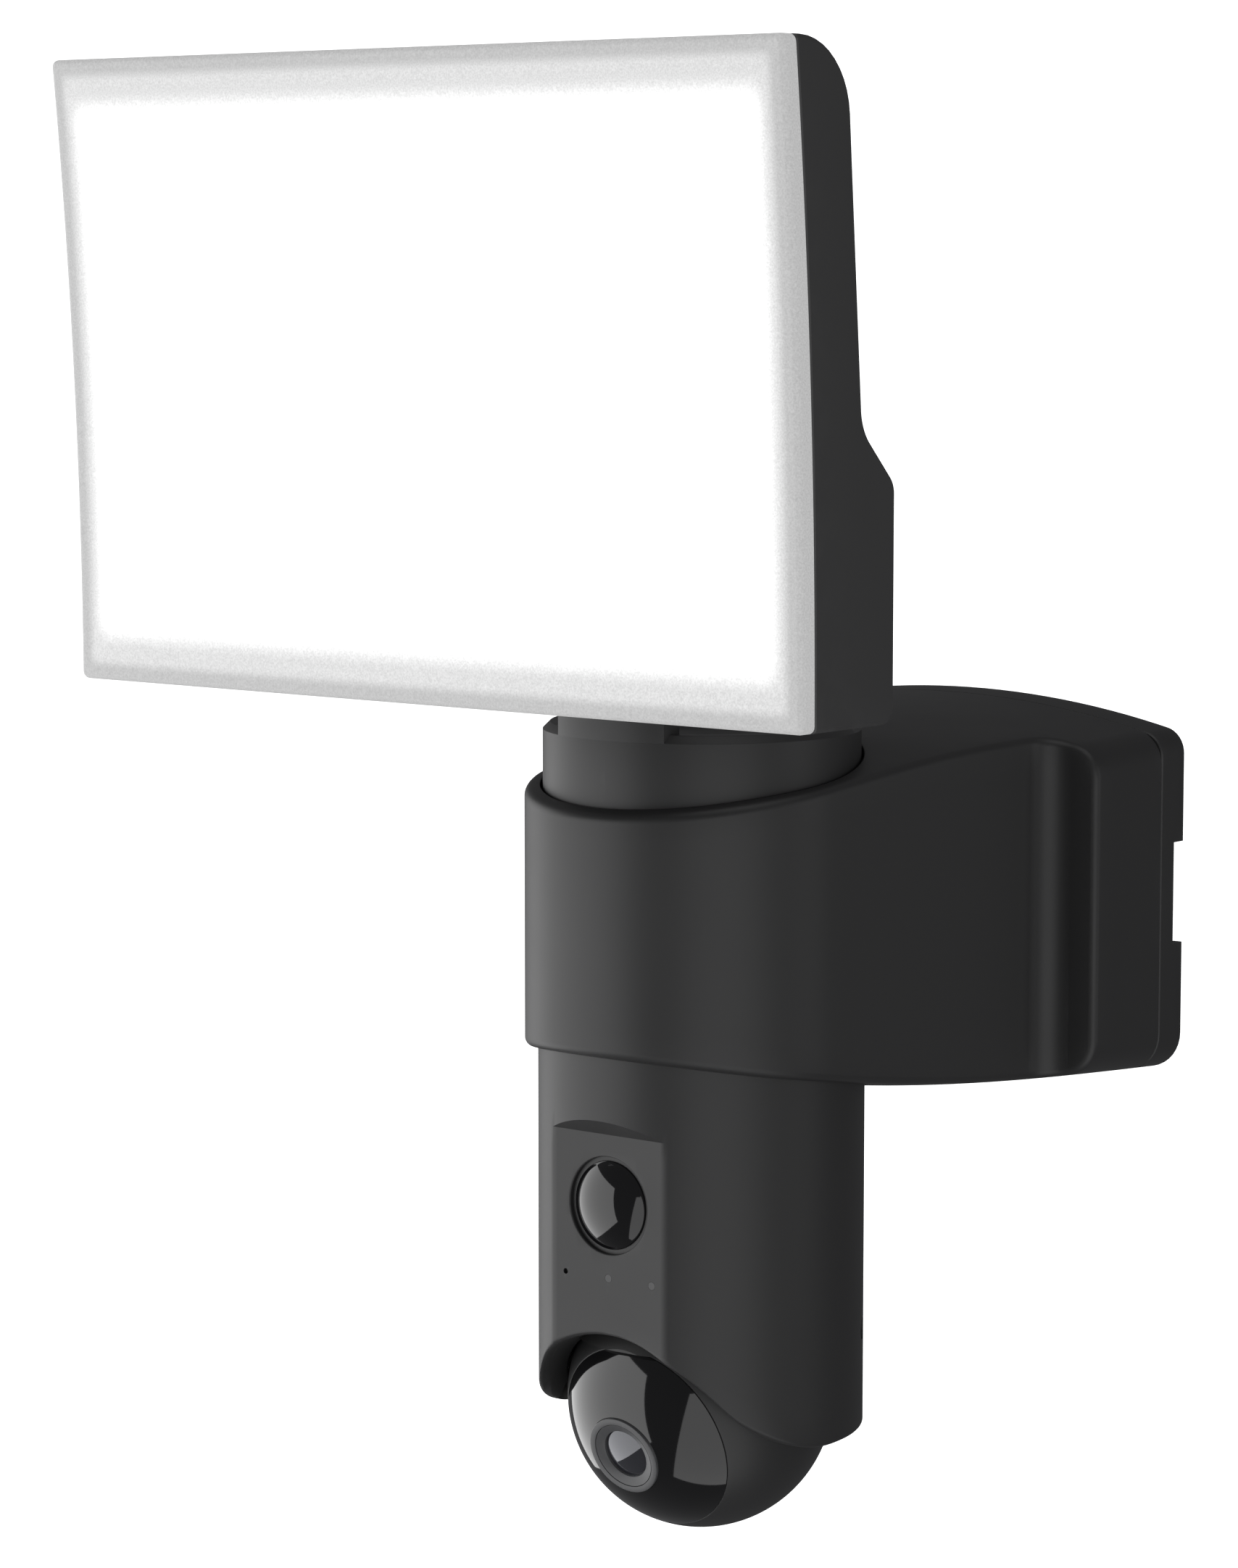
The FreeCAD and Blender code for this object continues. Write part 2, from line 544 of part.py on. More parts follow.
node("lens_gasket", lens_gasket())
node("heat_spreader", cut(slab("0", "1.5", "60", "186", "95.2"),
                          mirrored([(x, z) for x, z, _, _ in LAMP_POSTS],
                                   lambda x, z: rod("Y", "1.3", "-205", "-185", x, z))))
node("led_board", slab("1.5", "1.2", "66", "180", "88"))
LED_PLACES = [(12 * column, 74 + 14 * line) for line in range(8) for column in range(-7, 8)]
node("led_chips", mirrored(LED_PLACES, lambda x, z: block(
    "%d - 1.5" % x, "%d + 1.5" % x, "%s - 3.6" % slope_y(z), "%s - 2.78" % slope_y(z),
    "%d - 1.5" % z, "%d + 1.5" % z)))
node("reflector_frame", overlap(
    cut(block("-93.4", "93.4", "-220", "-180", "61", "184.8"), block("-91.9", "91.9", "-221", "-179", "62.5", "183.3")),
    cut(slab("1.5", "9", "60.5", "185.5", "95"), slab("6.2", "20", "50", "199", "96"))))
node("lamp_screws", mirrored([(x, z, face, skin) for x, z, face, skin in LAMP_POSTS],
                             lambda x, z, face, skin: screw("Y", "1.3", "2.8", "%s - 1.4" % face,
                                                            "%s - 1.7" % skin, x, z, "1.6")))
node("friction_discs", group(
    ring("X", "8", "pin_radius + 0.06", "neck_half + 0.1", "neck_half + 0.6", HINGE_Y, "hinge_up"),
    ring("X", "8", "pin_radius + 0.06", "-neck_half - 0.6", "-neck_half - 0.1", HINGE_Y, "hinge_up")))


# ---------------------------------------------------------------- camera head
def head_form(radius, top):
    """The head's outer form: a cylinder whose front is cut away in an arch round the ball."""
    base = rod("Z", radius, "head_bottom", top, "0", AXIS)
    arch = rod("Y", "arch_radius", "-reach - 60", "-reach", "0", "arch_centre")
    under = cut(block("-60", "60", "-reach - 60", "-reach", "head_bottom - 9", "ear_centre"),
                rod("X", "ear_radius", "-60", "60", AXIS, "ear_centre"))
    return cut(base, arch, under)


def head_shell():
    """Outer shell of the camera head with its flat sensor face, ear bosses and top deck."""
    form = head_form("head_radius", "head_top")
    flat = prism("YZ", [
        ("-reach - plate_face", "plate_top"), ("-reach - plate_face", "head_bottom - 20"),
        ("-reach - 50", "head_bottom - 20"), ("-reach - 50", "plate_top + 50 - plate_face"),
    ], "-25", "25")
    room = overlap(rod("Z", "head_radius - head_skin", "head_bottom - 5", "head_top - 3", "0", AXIS),
                   block("-50", "50", "-reach - plate_face + 2.4", "-reach + 50", "head_bottom - 9", "head_top - 3"))
    ears = [rod("X", "6", low, high, AXIS, "ball_up") for low, high in (("33", "35.6"), ("-35.6", "-33.2"))]
    pivots = rod("X", "pin_radius + 0.06", "-35.1", "35.1", AXIS, "ball_up")
    holes = [
        rod("Z", "hub_bore + 1", "head_top - 5", "head_top + 5", "0", AXIS),
        rod("Y", "pir_hole", "-reach - 40", "-reach - plate_face + 1", "0", "pir_up"),
        rod("Y", "pir_radius - 1", "-reach - 40", "-reach - 20", "0", "pir_up"),
        rod("Y", "0.55", "-reach - 40", "-reach - 20", "-dots_pitch", "dots_up"),
        rod("Y", "0.95", "-reach - 40", "-reach - 20", "0", "dots_up"),
        rod("Y", "0.95", "-reach - 40", "-reach - 20", "dots_pitch", "dots_up"),
        rod("Y", "2.3", "-reach + 30", "-reach + 40", "0", "-84"),
        HUB_HOLES,
    ]
    holes += [rod("Y", "0.7", "-reach + 30", "-reach + 40", x, z) for x, z in GRILLE]
    holes += [side_rod("2.6", "34.5", "40", side) for side in (-1, 1)]
    holes += [side_rod("1.3", "28", "40", side) for side in (-1, 1)]
    posts = [overlap(side_rod("3.6", "29.5", "36", side), rod("Z", "head_radius - 0.5", "-102", "-70", "0", AXIS))
             for side in (-1, 1)]
    ledge = block("-10", "10", "-reach - plate_face + 2", "-reach - 27.6", "pir_up + 11.7", "pir_up + 13.7")
    return cut(join(cut(form, flat, room), *ears, *posts, ledge), pivots, *holes)


def side_rod(radius, near_end, far_end, side):
    """A rod pointing at the head's axis from the rear quarter on one side."""
    thing = bind(DOC.addObject("Part::Cylinder", "side_rod"), Radius=radius,
                 Height="(%s) - (%s)" % (far_end, near_end))
    angle = math.radians(SIDE_ANGLE)
    aim = FreeCAD.Vector(side * math.sin(angle), -math.cos(angle), 0)
    thing.Placement = FreeCAD.Placement(FreeCAD.Vector(), FreeCAD.Rotation(FreeCAD.Vector(0, 0, 1), aim))
    bind(thing, Placement__Base__x="(%s) * %f" % (near_end, aim.x),
         Placement__Base__y="-reach + (%s) * %f" % (near_end, aim.y), Placement__Base__z="side_up")
    return thing


SIDE_ANGLE = 120
HUB_SCREWS = [("16 * cos(%d)" % angle, "-reach + 16 * sin(%d)" % angle) for angle in (30, 150, 270)]
HUB_HOLES = mirrored(HUB_SCREWS, lambda x, y: rod("Z", "1.3", "head_top - 5", "head_top + 1", x, y))
GRILLE = [("%d * 3" % column, "-50 - %d * 3" % line) for column in range(-2, 3) for line in range(3)]

node("head_shell", head_shell())


def tilted(thing, away):
    """Stand a part that was made along +Z on the camera's line of sight, away from the ball's centre."""
    angle = math.radians(value("lens_tilt"))
    aim = FreeCAD.Vector(0, -math.cos(angle), -math.sin(angle))
    centre = FreeCAD.Vector(0, -value("reach"), value("ball_up"))
    spin = FreeCAD.Rotation(FreeCAD.Vector(0, 0, 1), aim)
    seam_turn = FreeCAD.Rotation(FreeCAD.Vector(0, 0, 1), 90)
    thing.Placement = FreeCAD.Placement(centre + aim * value(away), spin.multiply(seam_turn))
    return thing


def sight_ball(radius, low="-90", high="90"):
    """A sphere about the ball's centre between two latitudes, its poles on the line of sight."""
    thing = DOC.addObject("Part::Sphere", "sight_ball")
    return tilted(bind(thing, Radius=radius, Angle1=low, Angle2=high), "0")


def ball_socket():
    """Spherical shield above the ball that closes the head's inside."""
    dome = cut(sight_ball("ball_radius + 2"), sight_ball("ball_radius + 0.8"))
    zone = block("-29", "33", "-reach - 28.6", "-reach + 33", "-95", "-70")
    tube_zone = rod("Z", "head_radius - head_skin", "-96", "-70", "0", AXIS)
    return overlap(dome, zone, tube_zone)


node("ball_socket", ball_socket())
node("pan_hub", cut(join(rod("Z", "hub_radius", "head_top", "14.5", "0", AXIS),
                         rod("Z", "20", "head_top", "gear_low", "0", AXIS)),
                    rod("Z", "hub_bore", "head_top - 1", "16", "0", AXIS),
                    mirrored(HUB_SCREWS, lambda x, y: rod("Z", "1.1", "head_top - 1", "gear_low - 0.6", x, y))))


def gear_wheel(teeth, outer_extra, root_drop, bore, low, high, y, phase):
    """A straight-toothed wheel of one-millimetre module with slack between its teeth."""
    pitch = teeth / 2.0
    half_step = math.pi / teeth
    points = []
    for tooth in range(teeth):
        middle = 2 * half_step * tooth + phase
        for radius, share in ((pitch - root_drop, -0.62), (pitch + outer_extra, -0.24),
                              (pitch + outer_extra, 0.24), (pitch - root_drop, 0.62)):
            angle = middle + share * half_step
            points.append(FreeCAD.Vector(radius * math.cos(angle), radius * math.sin(angle), 0))
    face = Part.Face(Part.Wire(Part.makePolygon(points + points[:1])))
    thick = high - low
    wheel = face.extrude(FreeCAD.Vector(0, 0, thick))
    if bore:
        wheel = wheel.cut(Part.makeCylinder(bore, thick))
    thing = DOC.addObject("Part::Feature", "wheel")
    thing.Shape = wheel
    at(thing, "0", y, "%f" % low)
    return thing


GEAR_LOW = value("gear_low")
GEAR_HIGH = value("gear_high")
node("pan_gear", gear_wheel(int(value("gear_teeth")), 0.7, 1.0, value("hub_radius"), GEAR_LOW, GEAR_HIGH,
                            AXIS, math.pi / 2))
node("hub_screws", mirrored(HUB_SCREWS, lambda x, y: screw("Z", "1.1", "2.2", "head_top - 3", "head_top + 2.2",
                                                           x, y, "-1.6")))


def pan_nut():
    """Notched ring nut that holds the hub up in the arm's web."""
    body = ring("Z", "16.5", "hub_radius", "web_half + 0.1", "14", "0", AXIS)
    notches = [block("-2", "2", "%s + 13.8" % AXIS, "%s + 18" % AXIS, "9", "15"),
               block("-2", "2", "%s - 18" % AXIS, "%s - 13.8" % AXIS, "9", "15")]
    return cut(body, *notches)


node("pan_nut", pan_nut())


def pir_lens():
    """Domed sensor lens seated in the round recess of the flat face."""
    sphere_centre = "-reach - plate_face - 3 + 15"
    dome = overlap(ball("15", "0", sphere_centre, "pir_up"),
                   rod("Y", "pir_radius", "-reach - plate_face - 5", "-reach - plate_face + 0.95", "0", "pir_up"))
    hollow = ball("13.4", "0", sphere_centre, "pir_up")
    return cut(dome, hollow)


node("pir_lens", pir_lens())
node("pir_board", block("-14", "14", "-reach - 27.6", "-reach - 26", "-84", "pir_up + 14.7"))
node("pir_sensor", join(rod("Y", "4.6", "-reach - 28.2", "-reach - 27.6", "0", "pir_up"),
                        rod("Y", "4.1", "-reach - 31.4", "-reach - 28.2", "0", "pir_up")))
node("microphone", join(block("-dots_pitch - 1.7", "-dots_pitch + 1.7", "-reach - 30.9", "-reach - 27.6",
                              "dots_up - 1.7", "dots_up + 1.7"),
                        rod("Y", "0.5", "-reach - 32.6", "-reach - 30.9", "-dots_pitch", "dots_up")))
node("light_pipes", mirrored([("0",), ("dots_pitch",)],
                             lambda x: join(rod("Y", "0.9", "-reach - 33.4", "-reach - 31", x, "dots_up"),
                                            rod("Y", "1.6", "-reach - 31", "-reach - 27.6", x, "dots_up"))))
node("main_board", block("-27", "27", "-reach + 12", "-reach + 13.6", "-76", "-34"))
node("processor", join(block("0", "18", "-reach + 9.8", "-reach + 12", "-64", "-46"),
                       *[block("0", "18", "-reach + 6", "-reach + 9.9", "%d" % z, "%d + 1.2" % z)
                         for z in range(-64, -46, 4)]))
node("board_frame", cut(block("-30", "30", "-reach + 13.6", "-reach + 16", "-76", "-23"),
                        block("-22", "22", "-reach + 13", "-reach + 17", "-70", "-30")))
node("speaker", join(cone("Y", "7", "11", "-reach + 21.6", "-reach + 27", "0", "-53"),
                     rod("Y", "9.5", "-reach + 16", "-reach + 22", "0", "-53"),
                     rod("Y", "12", "-reach + 27", "-reach + 30.4", "0", "-53")))
node("tilt_motor", cut(join(rod("X", "9", "-27", "-3", AXIS, "tilt_motor_up"),
                            block("-9", "-4", "-reach - 5", "-reach + 5", "tilt_motor_up + 8", "head_top - 3")),
                       rod("X", "1.06", "-28", "-22", AXIS, "tilt_motor_up")))
node("side_screws", mirrored([(-1,), (1,)], lambda side: cut(
    join(side_rod("1.3", "29.5", "35", side), side_rod("2.4", "34.5", "36.1", side)),
    side_rod("1.1", "35.2", "37", side))))


def belt_loop(extra):
    """The pointed oval round both tilt pulleys, as a face with a margin."""
    big = value("pulley_big") + extra
    small = value("pulley_small") + extra
    span = value("tilt_motor_up - ball_up")
    lean = math.asin((big - small) / span)
    side = FreeCAD.Vector(math.cos(lean), math.sin(lean), 0)
    low = FreeCAD.Vector(side.x * big, side.y * big, 0)
    high = FreeCAD.Vector(side.x * small, span + side.y * small, 0)
    flip = FreeCAD.Vector(-1, 1, 1)
    low_left = FreeCAD.Vector(low.x * flip.x, low.y, 0)
    high_left = FreeCAD.Vector(high.x * flip.x, high.y, 0)
    edges = [Part.makeLine(low, high), Part.Arc(high, FreeCAD.Vector(0, span + small, 0), high_left).toShape(),
             Part.makeLine(high_left, low_left), Part.Arc(low_left, FreeCAD.Vector(0, -big, 0), low).toShape()]
    return Part.Face(Part.Wire(edges))


def tilt_belt():
    """Belt from the tilt motor down to the ball's pulley."""
    band = belt_loop(1.1).cut(belt_loop(0.1)).extrude(FreeCAD.Vector(0, 0, 1.4))
    thing = DOC.addObject("Part::Feature", "belt")
    thing.Shape = band
    thing.Placement = FreeCAD.Placement(FreeCAD.Vector(-32.3, -value("reach"), value("ball_up")),
                                        FreeCAD.Rotation(FreeCAD.Vector(1, 1, 1), 120))
    return thing


node("tilt_belt", tilt_belt())
node("reset_button", join(rod("Y", "2", "-reach + 30.9", "-reach + 36.4", "0", "-84"),
                          rod("Y", "3.4", "-reach + 30.9", "-reach + 32.4", "0", "-84")))
node("reset_switch", block("-3.2", "3.2", "-reach + 25", "-reach + 29.8", "-87.2", "-80.8"))

# ---------------------------------------------------------------- driven wheels
PINION_Y = AXIS + " + gear_spacing"
PINION = gear_wheel(int(value("pinion_teeth")), 0.7, 1.0, 0, GEAR_LOW, GEAR_HIGH, PINION_Y,
                    -math.pi / 2 + math.pi / value("pinion_teeth"))
node("pan_pinion", join(PINION, rod("Z", "1.5", "gear_high", "-6", "0", PINION_Y)))
node("tilt_pulley", join(rod("X", "pulley_small", "-32.3", "-30.9", AXIS, "tilt_motor_up"),
                         rod("X", "1", "-30.9", "-23", AXIS, "tilt_motor_up")))


# ---------------------------------------------------------------- camera ball
def lens_ring(radius, bore, low, high):
    """A ring round the camera's line of sight."""
    outer = tilted(bind(DOC.addObject("Part::Cylinder", "outer"), Radius=radius,
                        Height="%s - (%s)" % (high, low)), low)
    if bore == "0":
        return outer
    inner = tilted(bind(DOC.addObject("Part::Cylinder", "inner"), Radius=bore,
                        Height="%s - (%s) + 2" % (high, low)), "%s - 1" % low)
    return cut(outer, inner)


SEAM = "asin(cap_offset / ball_radius)"
node("ball_front", cut(sight_ball("ball_radius", SEAM), sight_ball("ball_radius - ball_skin"),
                       lens_ring("ring_radius + 0.1", "0", "20", "40")))
node("ball_rear", cut(sight_ball("ball_radius", "-90", SEAM), sight_ball("ball_radius - ball_skin"),
                      rod("X", "pin_radius", "-40", "40", AXIS, "ball_up")))
node("lens_bezel", join(lens_ring("ring_radius", "ring_bore", "25", "ring_front"),
                        lens_ring("ring_bore + 0.2", "window_radius", "25", "ring_front - 0.9")))
node("lens_window", lens_ring("window_radius", "0", "26.6", "28.1"))
node("lens_barrel", cut(join(lens_ring("6.9", "0", "8", "25"), lens_ring("12", "0", "22", "25")),
                        lens_ring("3.4", "0", "10", "26"), lens_ring("5", "0", "7", "11")))
node("image_sensor_board", join(lens_ring("12", "0", "6.6", "8"), lens_ring("4", "0", "7.5", "10.9")))
node("pivot_pins", group(rod("X", "pin_radius", "22", "34.6", AXIS, "ball_up"),
                         rod("X", "pin_radius", "-34.6", "-22", AXIS, "ball_up")))
node("ball_pulley", ring("X", "pulley_big", "pin_radius", "-32.3", "-30.9", AXIS, "ball_up"))


# ---------------------------------------------------------------- tests and files
def write_all():
    """Recompute, test every object and every sub-part, and write one STEP file for each sub-part."""
    DOC.recompute()
    bad = [thing.Label for thing in DOC.Objects if "Invalid" in thing.State or "Error" in thing.State]
    if bad:
        raise RuntimeError("objects in error: %s" % ", ".join(bad))
    os.makedirs("parts", exist_ok=True)
    for thing in NODES:
        shape = thing.Shape
        if shape.isNull() or not shape.isValid() or not shape.Solids:
            raise RuntimeError("bad shape: %s" % thing.Label)
    for thing in NODES:
        thing.Shape.exportStep("parts/%s.step" % thing.Label)
        print("%-22s solids %3d  volume %10.1f" % (thing.Label, len(thing.Shape.Solids), thing.Shape.Volume))


write_all()
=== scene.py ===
"""Looks of the floodlight security camera: shells with fine edges, the lit diffuser and every finish.

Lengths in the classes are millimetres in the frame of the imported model, +X right, +Y into the wall and
+Z up. Surface turns them into metres as it writes a mesh.
"""
import logging
import math
from collections.abc import Callable, Iterable, Sequence
from dataclasses import dataclass, field
from enum import Enum

import bmesh
import bpy
from mathutils import Matrix, Vector
from mathutils.geometry import delaunay_2d_cdt


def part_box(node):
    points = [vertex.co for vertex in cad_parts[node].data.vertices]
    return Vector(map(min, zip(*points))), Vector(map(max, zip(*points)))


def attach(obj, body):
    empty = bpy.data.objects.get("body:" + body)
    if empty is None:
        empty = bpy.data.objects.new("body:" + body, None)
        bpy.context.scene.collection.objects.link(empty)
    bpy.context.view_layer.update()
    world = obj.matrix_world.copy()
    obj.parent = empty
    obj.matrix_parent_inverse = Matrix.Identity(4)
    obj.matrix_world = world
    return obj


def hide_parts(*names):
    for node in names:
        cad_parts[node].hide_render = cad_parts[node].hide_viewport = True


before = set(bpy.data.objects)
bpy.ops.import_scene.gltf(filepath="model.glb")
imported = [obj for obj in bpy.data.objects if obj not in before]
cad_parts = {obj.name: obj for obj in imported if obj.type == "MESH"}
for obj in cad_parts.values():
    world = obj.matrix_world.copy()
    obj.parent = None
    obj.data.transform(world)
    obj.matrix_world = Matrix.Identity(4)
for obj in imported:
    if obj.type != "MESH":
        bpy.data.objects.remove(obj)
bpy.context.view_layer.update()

MM = 0.001
LOG = logging.getLogger("floodlight_camera")

Colour = tuple[float, float, float]
Pair = tuple[float, float]
Row = Sequence[Vector]
Corners = list[bmesh.types.BMVert]
Socket = bpy.types.NodeSocket
Number = Socket | float


# ---------------------------------------------------------------- measuring the frame
@dataclass(frozen=True)
class Extent:
    """Where a sub-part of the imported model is, in millimetres."""

    low: Vector
    high: Vector

    @classmethod
    def of(cls, node: str) -> "Extent":
        """Read a sub-part's box.

        Args:
            node: Name of the sub-part.

        Returns:
            Its lowest and highest corners.
        """
        low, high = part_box(node)
        return cls(low / MM, high / MM)

    @property
    def middle(self) -> Vector:
        """The middle of the box."""
        return (self.low + self.high) / 2


AXIS_Y = Extent.of("drum_cap").middle.y


# ---------------------------------------------------------------- mesh tools
def spread(first: float, last: float, steps: int) -> list[float]:
    """Evenly spaced numbers.

    Args:
        first: The first number.
        last: The last number.
        steps: How many steps lie between them.

    Returns:
        steps + 1 numbers, both ends among them.
    """
    return [first + (last - first) * k / steps for k in range(steps + 1)]


def quarter(steps: int) -> list[Pair]:
    """Sine and cosine of the angles from 0 to a quarter turn.

    Args:
        steps: How many steps the quarter has.

    Returns:
        Pairs of (1 - cosine, 1 - sine), which set an edge radius out from its corner.
    """
    return [(1 - math.cos(a), 1 - math.sin(a)) for a in spread(0, math.pi / 2, steps)]


def soften(corners: Sequence[Pair], radii: Sequence[float], closed: bool = True,
           steps: int = 6) -> list[Pair]:
    """Round the corners of an outline.

    Args:
        corners: The outline's sharp corners in order.
        radii: One radius for each corner, 0 for a sharp one.
        closed: Whether the last corner joins the first.
        steps: Steps in each arc.

    Returns:
        The rounded outline.
    """
    made: list[Pair] = []
    count = len(corners)
    for k, (corner, radius) in enumerate(zip(corners, radii)):
        here = Vector(corner)
        at_end = not closed and k in (0, count - 1)
        before = Vector(corners[k - 1]) - here
        after = Vector(corners[(k + 1) % count]) - here
        if at_end or radius <= 0 or before.length < 1e-9 or after.length < 1e-9:
            made.append((here.x, here.y))
            continue
        before.normalize()
        after.normalize()
        half = before.angle(after) / 2
        if half > math.pi / 2 - 1e-3:
            made.append((here.x, here.y))
            continue
        centre = here + (before + after).normalized() * (radius / math.sin(half))
        start = here + before * (radius / math.tan(half)) - centre
        end = here + after * (radius / math.tan(half)) - centre
        sweep = start.angle_signed(end)
        for turn in spread(0, sweep, steps):
            c, s = math.cos(-turn), math.sin(-turn)
            made.append((centre.x + start.x * c - start.y * s, centre.y + start.x * s + start.y * c))
    return made


def is_inside(place: Pair, loop: Sequence[Pair]) -> bool:
    """Tell whether a flat place lies inside a closed outline.

    Args:
        place: The place.
        loop: The outline's corners.

    Returns:
        True inside the outline.
    """
    x, y = place
    within = False
    for (ax, ay), (bx, by) in zip(loop, [*loop[1:], loop[0]]):
        if (ay > y) != (by > y) and x < (bx - ax) * (y - ay) / (by - ay) + ax:
            within = not within
    return within


def distance_to(place: Pair, loop: Sequence[Pair]) -> float:
    """Distance from a flat place to the nearest corner of an outline."""
    return min(math.hypot(place[0] - a, place[1] - b) for a, b in loop)


def disc(radius: float, count: int, x: float = 0.0, y: float = 0.0) -> list[Pair]:
    """A circle as a flat outline.

    Args:
        radius: Its radius.
        count: How many corners it has.
        x: First coordinate of its middle.
        y: Second coordinate of its middle.

    Returns:
        The corners, counter-clockwise.
    """
    return [(x + radius * math.cos(math.tau * k / count), y + radius * math.sin(math.tau * k / count))
            for k in range(count)]


def aim(origin: Vector, direction: Vector) -> Matrix:
    """Matrix that stands a turned shape on a line.

    Args:
        origin: Where the shape's own zero goes.
        direction: Where its own +Z points.

    Returns:
        The matrix, in millimetres.
    """
    return Matrix.Translation(origin) @ direction.to_track_quat("Z", "Y").to_matrix().to_4x4()


def around(turn: float, radius: float, z: float) -> Vector:
    """A place round the main axis.

    Args:
        turn: Angle from the front.
        radius: Distance from the axis.
        z: Height.

    Returns:
        The place.
    """
    return Vector((radius * math.sin(turn), AXIS_Y - radius * math.cos(turn), z))


class Surface:
    """One mesh grown from rows of points in millimetres."""

    def __init__(self) -> None:
        """Start an empty surface."""
        self.net = bmesh.new()

    def row(self, places: Iterable[Vector]) -> Corners:
        """Add a row of corners.

        Args:
            places: Where the corners are.

        Returns:
            The corners.
        """
        return [self.net.verts.new(Vector(place) * MM) for place in places]

    def face(self, corners: Sequence[bmesh.types.BMVert]) -> None:
        """Add a face unless it has fewer than three different corners or is there already."""
        own = list(dict.fromkeys(corners))
        if len(own) > 2 and self.net.faces.get(own) is None:
            self.net.faces.new(own)

    def skin(self, first: Sequence[bmesh.types.BMVert], second: Sequence[bmesh.types.BMVert],
             closed: bool = True) -> None:
        """Join two rows with a strip of faces.

        Args:
            first: One row.
            second: A row of the same length.
            closed: Whether the rows run round.
        """
        count = len(first)
        for k in range(count if closed else count - 1):
            n = (k + 1) % count
            self.face((first[k], first[n], second[n], second[k]))

    def loft(self, rows: Sequence[Row], closed: bool = True, ring: bool = False) -> list[Corners]:
        """Join several rows in order.

        Args:
            rows: Rows of places, all of one length.
            closed: Whether each row runs round.
            ring: Whether the last row joins the first.

        Returns:
            The rows of corners.
        """
        made = [self.row(places) for places in rows]
        for k in range(len(made) if ring else len(made) - 1):
            self.skin(made[k], made[(k + 1) % len(made)], closed)
        return made

    def lid(self, places: Row) -> None:
        """Close a flat outline with one face."""
        self.face(self.row(places))

    def turn(self, profile: Sequence[Pair], matrix: Matrix, steps: int = 64, ring: bool = False) -> None:
        """Turn a profile about its own axis.

        Args:
            profile: Pairs of radius and height; a radius of 0 is a pole.
            matrix: Where the turned shape stands.
            steps: How many facets go round.
            ring: Whether the profile is a closed outline.
        """
        rows = []
        for radius, height in profile:
            if radius < 1e-6:
                pole = self.row([matrix @ Vector((0, 0, height))])[0]
                rows.append([pole] * steps)
                continue
            rows.append(self.row(matrix @ Vector((a, b, height)) for a, b in disc(radius, steps)))
        for k in range(len(rows) if ring else len(rows) - 1):
            self.skin(rows[k], rows[(k + 1) % len(rows)])

    def patch(self, rim: Sequence[Pair], holes: Sequence[Sequence[Pair]], step: float,
              lift: Callable[[float, float], Vector]) -> None:
        """Fill an outline with even triangles and raise each corner.

        Args:
            rim: The outer outline, flat.
            holes: Outlines left open.
            step: Distance between the corners inside.
            lift: Gives the place in space of a flat corner.
        """
        loops = [list(rim), *[list(hole) for hole in holes]]
        flat: list[Pair] = []
        edges: list[tuple[int, int]] = []
        for loop in loops:
            start = len(flat)
            flat += loop
            edges += [(start + k, start + (k + 1) % len(loop)) for k in range(len(loop))]
        low_a, high_a = min(a for a, _ in loops[0]), max(a for a, _ in loops[0])
        low_b, high_b = min(b for _, b in loops[0]), max(b for _, b in loops[0])
        for line in range(1, int((high_b - low_b) / step) + 1):
            for column in range(1, int((high_a - low_a) / step) + 1):
                spot = (low_a + (column - 0.5 * (line % 2)) * step, low_b + line * step * 0.94)
                if not is_inside(spot, loops[0]) or any(is_inside(spot, hole) for hole in loops[1:]):
                    continue
                if min(distance_to(spot, loop) for loop in loops) > step * 0.55:
                    flat.append(spot)
        places, _, faces, *_ = delaunay_2d_cdt([Vector(spot) for spot in flat], edges, [], 0, 1e-9)
        corners = self.row(lift(place.x, place.y) for place in places)
        for face in faces:
            middle = sum((places[k] for k in face), Vector((0, 0))) / len(face)
            spot = (middle.x, middle.y)
            if is_inside(spot, loops[0]) and not any(is_inside(spot, hole) for hole in loops[1:]):
                self.face([corners[k] for k in face])

    def finish(self, name: str, weld: float = 0.004) -> bpy.types.Object:
        """Weld the surface and make it an object.

        Args:
            name: The piece's name.
            weld: Corners nearer than this, in millimetres, become one.

        Returns:
            The object, in the scene.
        """
        bmesh.ops.remove_doubles(self.net, verts=self.net.verts, dist=weld * MM)
        bmesh.ops.dissolve_degenerate(self.net, dist=weld * MM / 4, edges=self.net.edges)
        bmesh.ops.recalc_face_normals(self.net, faces=self.net.faces)
        mesh = bpy.data.meshes.new(name)
        self.net.to_mesh(mesh)
        self.net.free()
        thing = bpy.data.objects.new(name, mesh)
        bpy.context.scene.collection.objects.link(thing)
        return thing


def bake_modifiers(thing: bpy.types.Object) -> None:
    """Put what a piece's modifiers make into its mesh and drop them.

    Args:
        thing: The piece.
    """
    bpy.context.view_layer.update()
    made = bpy.data.meshes.new_from_object(thing.evaluated_get(bpy.context.evaluated_depsgraph_get()))
    made.name = thing.name
    thing.modifiers.clear()
    thing.data = made


def carve(thing: bpy.types.Object, tool: bpy.types.Object) -> None:
    """Cut one solid out of a piece, and remove the solid.

    Args:
        thing: The piece that is cut.
        tool: The closed solid to take away.
    """
    cut = thing.modifiers.new("carve", "BOOLEAN")
    cut.operation = "DIFFERENCE"
    cut.solver = "EXACT"
    cut.object = tool
    bake_modifiers(thing)
    bpy.data.objects.remove(tool)


